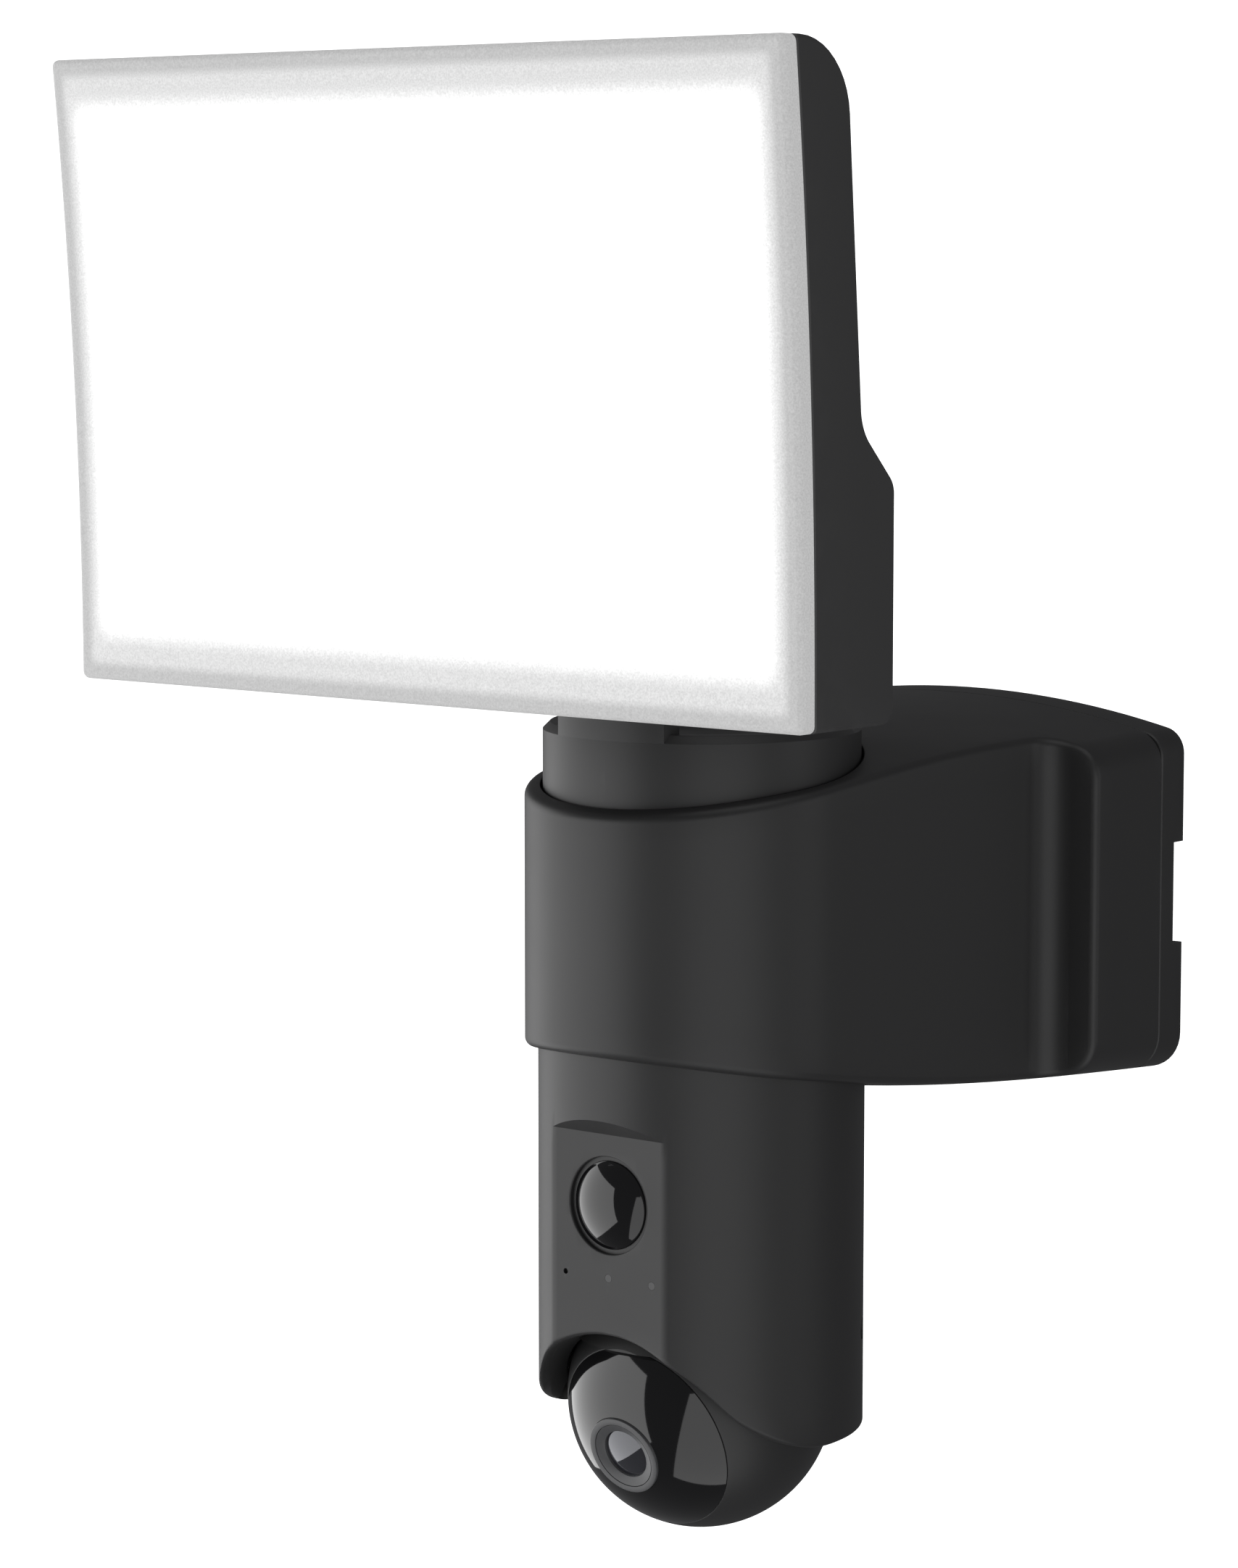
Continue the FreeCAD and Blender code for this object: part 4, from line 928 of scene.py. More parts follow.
# ---------------------------------------------------------------- wall box and arm
@dataclass
class CrownedForm:
    """The crowned, round-cornered form that the arm and the wall plate share.

    stations holds a distance from the wall and the heights of the upper and lower crowns there.
    A level is 1 for the upper crown and -1 for the lower one.
    """

    stations: tuple[tuple[float, float, float], ...] = (
        (-152.0, 25.1, 24.11), (-125.0, 33.1, 32.51), (-105.0, 36.4, 36.4), (-73.0, 40.7, 41.49),
        (-42.0, 42.9, 44.88), (0.0, 44.8, 48.1))
    crown_radius: float = 256.28
    half: float = field(default_factory=lambda: Extent.of("arm_housing").high.x)
    top_corner: float = 8.0
    low_corner: float = 9.0
    crown_half: float = 53.8
    crown_steps: int = 24
    corner_steps: int = 8
    side_steps: int = 12

    def __post_init__(self) -> None:
        """Work out the bends of the natural curves through the stations."""
        self.bends = {level: self.bend(level) for level in (1, -1)}

    def crests(self, level: int) -> list[float]:
        """The crown's heights at the stations."""
        return [station[1 if level > 0 else 2] for station in self.stations]

    def bend(self, level: int) -> list[float]:
        """Second derivatives of one crown's natural curve at the stations.

        Args:
            level: Which crown.

        Returns:
            One number for each station, 0 at both ends.
        """
        places, heights = [station[0] for station in self.stations], self.crests(level)
        gaps = [after - before for before, after in zip(places, places[1:])]
        rises = [(after - before) / gap for before, after, gap in zip(heights, heights[1:], gaps)]
        bends = [0.0] * len(places)
        for _ in range(60):
            for k in range(1, len(places) - 1):
                pull = 6 * (rises[k] - rises[k - 1]) - gaps[k - 1] * bends[k - 1] - gaps[k] * bends[k + 1]
                bends[k] = pull / (2 * (gaps[k - 1] + gaps[k]))
        return bends

    def crest(self, y: float, level: int) -> float:
        """Distance of a crown from the middle plane on the middle line.

        Args:
            y: Place from the wall.
            level: Which crown.

        Returns:
            The distance.
        """
        k = max(0, min(len(self.stations) - 2, sum(1 for station in self.stations if station[0] <= y) - 1))
        heights, bends = self.crests(level), self.bends[level]
        low, high = self.stations[k][0], self.stations[k + 1][0]
        gap = high - low
        a, b = (high - y) / gap, (y - low) / gap
        curve = ((a ** 3 - a) * bends[k] + (b ** 3 - b) * bends[k + 1]) * gap ** 2 / 6
        return a * heights[k] + b * heights[k + 1] + curve

    def height(self, x: float, y: float, level: int, inset: float = 0.0) -> float:
        """Height of a crowned face.

        Args:
            x: Place across.
            y: Place from the wall.
            level: Which crown.
            inset: How far inside the face.

        Returns:
            The height, below zero for the lower crown.
        """
        reach = math.sqrt((self.crown_radius - inset) ** 2 - x * x)
        return level * (self.crest(y, level) - self.crown_radius + reach)

    def corner(self, level: int) -> float:
        """Radius of the round corner beside a crown."""
        return self.top_corner if level > 0 else self.low_corner

    def corner_middle(self, y: float, level: int) -> float:
        """Height of the middle of the round corner at a distance from the wall."""
        radius = self.corner(level)
        reach = math.sqrt((self.crown_radius - radius) ** 2 - (self.half - radius) ** 2)
        return level * (self.crest(y, level) - self.crown_radius + reach)

    def corner_places(self, y: float, level: int, inset: float) -> list[Vector]:
        """The round right corner from a crown to the side.

        Args:
            y: Place from the wall.
            level: Which crown.
            inset: How far inside the face.

        Returns:
            Places along the corner.
        """
        corner = self.corner(level)
        start = math.asin((self.half - corner) / (self.crown_radius - corner))
        radius = corner - inset
        middle = self.corner_middle(y, level)
        return [Vector((self.half - corner + radius * math.sin(t), y, middle + level * radius * math.cos(t)))
                for t in spread(start, math.pi / 2, self.corner_steps)]

    def side_places(self, x: float, y: float) -> list[Vector]:
        """The upright stretch between the upper and the lower right corner."""
        heights = spread(self.corner_middle(y, 1), self.corner_middle(y, -1), self.side_steps)
        return [Vector((x, y, z)) for z in heights[1:-1]]

    def crown_xs(self) -> list[float]:
        """Places across the crown, from left to right."""
        return spread(-self.crown_half, self.crown_half, self.crown_steps)

    def section(self, y: float, inset: float = 0.0, narrow: float = 1.0) -> list[Vector]:
        """The whole section at a distance from the wall.

        Args:
            y: Place from the wall.
            inset: How far inside the face.
            narrow: Share of the full width.

        Returns:
            Places all round, starting at the left of the upper crown.
        """
        upper, lower = ([Vector((x, y, self.height(x, y, level, inset))) for x in self.crown_xs()]
                        for level in (1, -1))
        right = self.corner_places(y, 1, inset) + self.side_places(self.half - inset, y)
        right += reversed(self.corner_places(y, -1, inset))
        left = [Vector((-p.x, p.y, p.z)) for p in reversed(right)]
        return [Vector((p.x * narrow, p.y, p.z)) for p in upper + right + lower[::-1] + left]


@dataclass
class ArmAndWallBox:
    """The one-piece arm with its wall box and collar, and the plate behind it."""

    form: CrownedForm = field(default_factory=CrownedForm)
    splay: float = 6.3
    root_half: float = 47.5
    flange_front: float = -37.5
    hollow: float = 7.0
    edge: float = 1.7
    bore_edge: float = 0.35
    top_bore: float = 36.4
    low_bore: float = 37.5
    web_half: float = 10.0
    hub_hole: float = 12.08
    cavity_front: float = 43.0
    skin: float = 2.6
    seam: float = 0.3
    sink: float = 3.2
    sink_floor: float = -40.2
    plate_corner: float = 6.0
    plate_edge: float = 0.8
    recess: float = 4.5
    notch_half: float = 12.0
    notch_deep: float = 6.6
    bolt_across: float = 40.0
    bolt_up: float = 22.0
    bolt_hole: float = 2.6
    entry_hole: float = 10.0
    boss: float = 6.0

    def outline(self) -> list[tuple[Vector, Vector]]:
        """The right half of the arm seen from above.

        Returns:
            Pairs of place and outward direction, from the nose to the wall box.
        """
        collar = AXIS_Y - Extent.of("arm_housing").low.y
        splay = math.radians(self.splay)
        made = []
        for turn in spread(-math.pi / 2, -splay, 26):
            out = Vector((math.cos(turn), math.sin(turn)))
            made.append((Vector((0, AXIS_Y)) + out * collar, out))
        first, last = made[-1][0], Vector((self.root_half, self.flange_front))
        run = (last - first).normalized()
        out = Vector((run.y, -run.x))
        centre_y = self.flange_front - self.hollow
        centre = Vector((last.x + (self.hollow - (centre_y - last.y) * out.y) / out.x, centre_y))
        end = centre - out * self.hollow
        made += [(first.lerp(end, share), out) for share in spread(0, 1, 16)[1:]]
        start = math.atan2(-out.y, -out.x)
        for turn in spread(start, math.pi / 2, 10)[1:]:
            away = Vector((math.cos(turn), math.sin(turn)))
            made.append((centre + away * self.hollow, -away))
        self.form.crown_half = centre.x
        return made

    def edge_row(self, level: int, side_share: float, face_share: float) -> list[Vector]:
        """One line along the rounded edge between the arm's walls and a crowned face.

        Args:
            level: Which crowned face.
            side_share: How far the line has left the wall, 0 to 1.
            face_share: How far it still is from the crowned face, 0 to 1.

        Returns:
            The line from left to right, a corner of the wall box at each end.
        """
        right = []
        for place, out in self.outline():
            spot = place - out * self.edge * side_share
            height = self.form.height(spot.x, spot.y, level) - level * self.edge * face_share
            right.append(Vector((spot.x, spot.y, height)))
        depth = self.flange_front + self.edge * side_share
        right += self.form.corner_places(depth, level, self.edge * face_share)
        return [Vector((-p.x, p.y, p.z)) for p in reversed(right[1:])] + right

    def build_arm(self) -> bpy.types.Object:
        """Make the arm with its wall box, collar and bores.

        Returns:
            The piece.
        """
        form = self.form
        shell = Surface()
        rows = []
        for side_share, face_share in quarter(6):
            upper, lower = (self.edge_row(level, side_share, face_share) for level in (1, -1))
            across, depth = form.half - self.edge * face_share, self.flange_front + self.edge * side_share
            right = form.side_places(across, depth)
            left = [Vector((-p.x, p.y, p.z)) for p in reversed(right)]
            rows.append(upper + right + lower[::-1] + left)
        shell.loft(rows)
        upper, lower = (self.edge_row(level, 0, 1) for level in (1, -1))
        shell.loft([[high.lerp(low, share) for high, low in zip(upper, lower)]
                    for share in spread(0, 1, form.side_steps)], closed=False)
        inner, corner = self.edge_row(1, 1, 0), form.corner_steps + 1
        start, end = self.flange_front + self.edge, Extent.of("arm_housing").high.y
        rim = [(p.x, p.y) for p in inner[corner:-corner]]
        rim += [(x, start) for x in reversed(form.crown_xs()[1:-1])]
        for level, bore in ((1, self.top_bore), (-1, self.low_bore)):
            shell.patch(rim, [disc(bore + self.bore_edge, 96, 0, AXIS_Y)], 4.0,
                        lambda x, y, which=level: Vector((x, y, form.height(x, y, which))))
        shell.loft(self.bore_rows())
        depth, nose = self.flange_front + self.skin, AXIS_Y + self.cavity_front
        taper = math.tan(math.radians(self.splay)) * (self.flange_front - nose)
        waist, narrow = ((self.root_half - slimmer - self.skin) / (form.half - self.skin)
                         for slimmer in (0.0, taper))
        sections = [form.section(y) for y in spread(start, end - self.seam, 5)]
        sections += [form.section(end, self.seam), form.section(end, self.skin)]
        sections += [form.section(y, self.skin, share)
                     for y, share in ((depth, 1.0), (depth, waist), (nose, narrow))]
        shell.loft(sections)
        shell.lid(sections[-1])
        arm = shell.finish("arm_shell")
        sinks = Surface()
        screws = Extent.of("lock_screws")
        for x in (screws.low.x + 3, screws.high.x - 3):
            sinks.turn([(0, 0), (self.sink, 0), (self.sink, 12), (0, 12)],
                       aim(Vector((x, screws.middle.y, self.sink_floor)), Vector((0, 0, -1))), 40)
        carve(arm, sinks.finish("sink_tool"))
        return arm

    def bore_rows(self) -> list[list[Vector]]:
        """Rows down the upper bore, through the web and out of the lower bore."""
        def ring(radius: float, height: Callable[[float, float], float]) -> list[Vector]:
            return [Vector((x, y, height(x, y))) for x, y in disc(radius, 96, 0, AXIS_Y)]

        def rim(bore: float, level: int) -> list[list[Vector]]:
            return [ring(bore + self.bore_edge * drop, lambda x, y, depth=self.bore_edge * away:
                         self.form.height(x, y, level) - level * depth) for away, drop in quarter(4)]

        walls = [ring(radius, lambda x, y, z=level: z)
                 for radius, level in ((self.top_bore, self.web_half), (self.hub_hole, self.web_half),
                                       (self.hub_hole, -self.web_half), (self.low_bore, -self.web_half))]
        return rim(self.top_bore, 1) + walls + rim(self.low_bore, -1)[::-1]

    def build_plate(self) -> bpy.types.Object:
        """Make the wall plate with its rim, recess, side notches and holes.

        Returns:
            The piece.
        """
        front, back = Extent.of("arm_housing").high.y, 0.0
        form = CrownedForm(top_corner=self.plate_corner)
        shell = Surface()
        sections = [form.section(front, self.skin), form.section(front, self.seam)]
        sections.append(form.section(front + self.seam))
        sections += [form.section(y) for y in (front + 3, front + 6)]
        sections += [form.section(back - self.plate_edge * drop, self.plate_edge * away)
                     for away, drop in quarter(4)]
        sections += [form.section(back, self.skin), form.section(back - self.recess, self.skin)]
        shell.loft(sections)
        shell.lid(sections[0])
        shell.lid(sections[-1])
        plate = shell.finish("wall_backplate")
        tools = Surface()
        for side in (-1, 1):
            near, far = side * (form.half - self.notch_deep), side * (form.half + 2)
            corners = [(near, -self.recess), (far, -self.recess), (far, 2.0), (near, 2.0)]
            ends = [[Vector((x, y, z)) for x, y in corners] for z in (-self.notch_half, self.notch_half)]
            for end in tools.loft(ends):
                tools.face(end)
        entry = Extent.of("cable_grommet").middle
        holes = [(x, z, self.bolt_hole) for x, z in self.bolt_places()]
        holes.append((entry.x, entry.z, self.entry_hole))
        for x, z, radius in holes:
            tools.turn([(0, 0), (radius, 0), (radius, 14), (0, 14)],
                       aim(Vector((x, front - 2, z)), Vector((0, 1, 0))), 40)
        carve(plate, tools.finish("plate_tool"))
        return plate

    def bolt_places(self) -> list[Pair]:
        """Across and up of the four wall bolts."""
        return [(x, z) for x in (-self.bolt_across, self.bolt_across) for z in (-self.bolt_up, self.bolt_up)]

    def build_bosses(self) -> bpy.types.Object:
        """Make the four hollow bosses that the wall bolts go through.

        Returns:
            The piece.
        """
        bosses = Surface()
        bore, rim, deep = self.bolt_hole, self.boss, self.recess
        outline = soften([(bore, 0), (rim, 0), (rim, deep), (bore, deep)], (0, 0.4, 0.5, 0.4), steps=4)
        for x, z in self.bolt_places():
            bosses.turn(outline, aim(Vector((x, -self.recess, z)), Vector((0, 1, 0))), 48, ring=True)
        return bosses.finish("plate_bosses")

    def build(self, wardrobe: Wardrobe) -> None:
        """Make and dress the pieces fixed to the wall.

        Args:
            wardrobe: Holds the materials.
        """
        wardrobe.fit(self.build_arm(), "root", "black_shell", "arm_housing")
        wardrobe.fit(self.build_plate(), "root", "black_shell", "wall_plate")
        wardrobe.fit(self.build_bosses(), "root", "black_shell")


# ---------------------------------------------------------------- lamp swivel
@dataclass
class LampSwivel:
    """The turning drum and the neck that carries the lamp's hinge."""

    radius: float = 35.85
    bore: float = 31.05
    sleeve: float = 22.08
    foot: float = 20.0
    floor: float = 3.4
    bevel: float = 1.67
    neck_half: float = 15.0
    knuckle: float = 9.0
    shoulder: float = 58.0
    ledge: float = 66.0
    lug_top: float = 73.0

    def build_drum(self) -> bpy.types.Object:
        """Make the cup with its bevelled rim.

        Returns:
            The piece.
        """
        self.rim = Extent.of("drum_cap").high.z + 2.1
        crest = self.rim + self.bevel
        outline = soften([
            (self.sleeve, self.foot), (self.radius, self.foot), (self.radius, self.rim),
            (self.radius - self.bevel, crest), (self.bore, crest), (self.bore, self.foot + self.floor),
            (self.sleeve, self.foot + self.floor)], (0.2, 0.4, 0.18, 0.18, 0.25, 0.5, 0.2), steps=3)
        drum = Surface()
        drum.turn(outline, Matrix.Translation((0, AXIS_Y, 0)), 160, ring=True)
        return drum.finish("drum_cup")

    def build_neck(self) -> bpy.types.Object:
        """Make the neck that stands flush on the drum's front and ends in the hinge barrel.

        Returns:
            The piece.
        """
        hinge = Extent.of("tilt_bolt").middle
        rows = []
        for x in spread(-self.neck_half, self.neck_half, 16):
            front = AXIS_Y - math.sqrt(self.radius ** 2 - x * x)
            inside = AXIS_Y - math.sqrt(self.bore ** 2 - x * x)
            wall = AXIS_Y - self.bore
            outline = [(front, self.rim - 0.05), (front, self.rim + 8), (front, self.shoulder)]
            outline += [(hinge.y + self.knuckle * math.sin(t), hinge.z - self.knuckle * math.cos(t))
                        for t in spread(0, -math.pi, 16)]
            outline += [(wall, self.lug_top), (wall, self.ledge), (inside, self.ledge),
                        (inside, self.rim - 2), (front + 1.2, self.rim - 2)]
            rows.append([Vector((x, y, z)) for y, z in outline])
        neck = Surface()
        made = neck.loft(rows)
        neck.face(made[0])
        neck.face(made[-1])
        return neck.finish("drum_neck")

    def build(self, wardrobe: Wardrobe) -> None:
        """Make and dress the turning pieces below the lamp.

        Args:
            wardrobe: Holds the materials.
        """
        wardrobe.fit(self.build_drum(), "lamp_swivel", "black_shell", "swivel_drum")
        wardrobe.fit(self.build_neck(), "lamp_swivel", "black_shell")


# ---------------------------------------------------------------- lamp head
def inset_frame(half: float, low: float, high: float, radius: float, inset: float, across: int = 24,
                up: int = 20, arc: int = 5) -> list[Pair]:
    """A rectangle with round corners, drawn inward evenly.

    Args:
        half: Half its width.
        low: Its lower edge.
        high: Its upper edge.
        radius: Radius of the corners before the inset.
        inset: How far inside.
        across: Steps along each level side.
        up: Steps along each upright side.
        arc: Steps in each corner.

    Returns:
        The outline, with the same number of places for every inset.
    """
    reach, bend = max(radius, inset), max(radius - inset, 0.0)
    right, bottom, top = half - reach, low + reach, high - reach
    made: list[Pair] = []
    sides = (
        ((-right, bottom - bend), (right, bottom - bend), across, (right, bottom), -math.pi / 2),
        ((right + bend, bottom), (right + bend, top), up, (right, top), 0.0),
        ((right, top + bend), (-right, top + bend), across, (-right, top), math.pi / 2),
        ((-right - bend, top), (-right - bend, bottom), up, (-right, bottom), math.pi),
    )
    for (ax, az), (bx, bz), steps, (cx, cz), turn in sides:
        made += [(ax + (bx - ax) * t, az + (bz - az) * t) for t in spread(0, 1, steps)]
        made += [(cx + bend * math.cos(a), cz + bend * math.sin(a))
                 for a in spread(turn, turn + math.pi / 2, arc)[1:-1]]
    return made


@dataclass
class LampHead:
    """The lamp: opal tray in front, stepped rear shell and hinge cheeks behind."""

    face_curve: float = 1294.0
    depth: float = 4.5
    corner: float = 1.6
    face_edge: float = 1.5
    tray_wall: float = 2.6
    tray_face: float = 2.0
    seam: float = 0.35
    side_edge: float = 1.1
    skin: float = 2.6
    thick_back: float = -171.1
    thin_back: float = -182.1
    top_back: float = -187.7
    step_low: float = 103.5
    step_high: float = 114.5
    back_radii: tuple[float, ...] = (0, 3.5, 5, 10, 16, 0)
    cheek_gap: float = 15.6
    cheek: float = 5.0
    knuckle: float = 9.0
    well: float = 2.9
    post_across: float = 78.0
    posts: tuple[Pair, ...] = ((76.0, -173.8), (134.0, -186.8), (172.0, -190.0))

    def __post_init__(self) -> None:
        """Read the tray's box."""
        tray = Extent.of("lamp_lens")
        self.half, self.low, self.high, self.front = tray.high.x, tray.low.z, tray.high.z, tray.low.y

    def face(self, z: float, behind: float = 0.0) -> float:
        """Where the hollow face is at a height, or a distance behind it."""
        def sag(up: float) -> float:
            return self.face_curve - math.sqrt(self.face_curve ** 2 - (up - self.low) ** 2)
        return self.front + sag(self.high) - sag(z) + behind

    def ring(self, inset: float, behind: float, corner: float) -> list[Vector]:
        """A line round the tray, inset in the face's plane and behind its curve."""
        return [Vector((x, self.face(z, behind), z))
                for x, z in inset_frame(self.half, self.low, self.high, corner, inset)]

    def build_tray(self) -> bpy.types.Object:
        """Make the opal tray.

        Returns:
            The piece.
        """
        tray = Surface()
        rows = [(self.tray_wall, self.tray_face), (self.tray_wall, self.depth), (self.seam, self.depth),
                (0, self.depth - self.seam)]
        rows += [(self.face_edge * away, self.face_edge * drop) for away, drop in quarter(6)]
        tray.loft([self.ring(inset, behind, self.corner) for inset, behind in rows])
        for inset, behind in ((self.face_edge, 0.0), (self.tray_wall, self.tray_face)):
            rim = inset_frame(self.half, self.low, self.high, self.corner, inset)
            flat = [place for k, place in enumerate(rim) if math.dist(place, rim[k - 1]) > 1e-6]
            tray.patch(flat, [], 8.0, lambda x, z, b=behind: Vector((x, self.face(z, b), z)))
        return tray.finish("lamp_diffuser")

    def side_outline(self) -> list[tuple[Vector, Vector]]:
        """The rear shell seen from the side, from the lower front round the back to the upper front.

        Returns:
            Pairs of place and outward direction.
        """
        corners = [(self.face(self.low, self.depth), self.low), (self.thick_back, self.low),
                   (self.thick_back, self.step_low), (self.thin_back, self.step_high),
                   (self.top_back, self.high), (self.face(self.high, self.depth), self.high)]
        line = [Vector(place) for place in soften(corners, self.back_radii, closed=False, steps=10)]
        made = []
        for k, place in enumerate(line):
            run = line[min(k + 1, len(line) - 1)] - line[max(k - 1, 0)]
            run.normalize()
            made.append((place, Vector((run.y, -run.x))))
        return made

    def side_row(self, x: float, inset: float, behind: float) -> list[Vector]:
        """The side outline at a place across, inset evenly, ending behind the tray's rear edge."""
        row = []
        for place, out in self.side_outline():
            spot = place - out * inset
            row.append(Vector((x, spot.x, spot.y)))
        for end in (row[0], row[-1]):
            end.y = self.face(end.z, self.depth + behind)
        return row

    def build_shell(self) -> bpy.types.Object:
        """Make the hollow rear shell with its screw wells.

        Returns:
            The piece.
        """
        shell = Surface()
        reach = self.half - self.side_edge
        right = [(self.half - self.side_edge * away, self.side_edge * drop) for away, drop in quarter(5)]
        stations = [(-x, inset) for x, inset in right]
        stations += [(x, 0.0) for x in spread(-reach, reach, 24)[1:-1]]
        stations += list(reversed(right))
        outer = shell.loft([self.side_row(x, inset, self.seam) for x, inset in stations], closed=False)
        inner_half = self.half - self.skin
        inner = shell.loft([self.side_row(x, self.skin, 0.0) for x in spread(-inner_half, inner_half, 24)],
                           closed=False)
        for row, x, inset, behind in ((outer[0], -self.half, self.side_edge, self.seam),
                                      (outer[-1], self.half, self.side_edge, self.seam),
                                      (inner[0], -inner_half, self.skin, 0.0),
                                      (inner[-1], inner_half, self.skin, 0.0)):
            heights = spread(self.high - inset, self.low + inset, 20)[1:-1]
            front = shell.row(Vector((x, self.face(z, self.depth + behind), z)) for z in heights)
            shell.face([*row, *front])
        shell.loft([self.ring(inset, self.depth + behind, self.side_edge)
                    for inset, behind in ((0, self.seam), (self.seam, 0), (self.skin, 0))])
        back = shell.finish("lamp_back_shell")
        wells = Surface()
        for x, z, floor in self.post_places():
            wells.turn([(0, 0), (self.well, 0), (self.well, 30), (0, 30)],
                       aim(Vector((x, floor, z)), Vector((0, 1, 0))), 40)
        carve(back, wells.finish("well_tool"))
        return back

    def post_places(self) -> list[tuple[float, float, float]]:
        """Across, up and floor of each screw well."""
        return [(side * self.post_across, z, floor) for side in (-1, 1) for z, floor in self.posts]

    def build_posts(self) -> bpy.types.Object:
        """Make the hollow posts at the bottom of the screw wells.

        Returns:
            The piece.
        """
        posts = Surface()
        outline = [(1.3, -7), (3.5, -7), (3.5, 0.9), (self.well, 0.9), (self.well, 0), (1.3, 0)]
        for x, z, floor in self.post_places():
            posts.turn(outline, aim(Vector((x, floor, z)), Vector((0, 1, 0))), 40, ring=True)
        return posts.finish("lamp_posts")

    def build_cheek(self, side: int) -> bpy.types.Object:
        """Make one hinge cheek behind the shell.

        Args:
            side: 1 for the right one, -1 for the left one.

        Returns:
            The piece.
        """
        hinge = Extent.of("tilt_bolt").middle
        root = self.thick_back - 0.6
        outline = [(root, hinge.z - self.knuckle - 2)]
        outline += [(hinge.y + self.knuckle * math.cos(t), hinge.z + self.knuckle * math.sin(t))
                    for t in spread(-math.pi / 2, math.pi / 2, 20)]
        outline += [(root, hinge.z + self.knuckle + 4)]
        near, far = sorted((side * self.cheek_gap, side * (self.cheek_gap + self.cheek)))
        cheek = prism("hinge_cheek_right" if side > 0 else "hinge_cheek_left", outline, near, far)
        bevel(cheek, 0.5)
        return cheek

    def build(self, wardrobe: Wardrobe) -> None:
        """Make and dress the lamp.

        Args:
            wardrobe: Holds the materials.
        """
        wardrobe.fit(self.build_tray(), "lamp_head", "diffuser", "lamp_lens", sharp=30)
        # the lamp_shell finish is partly painted light: its raised lightness stands in for light falling on
        # the lamp's sides
        wardrobe.fit(self.build_shell(), "lamp_head", "lamp_shell", "lamp_housing")
        wardrobe.fit(self.build_posts(), "lamp_head", "lamp_shell")
        for side in (-1, 1):
            wardrobe.fit(self.build_cheek(side), "lamp_head", "lamp_shell")


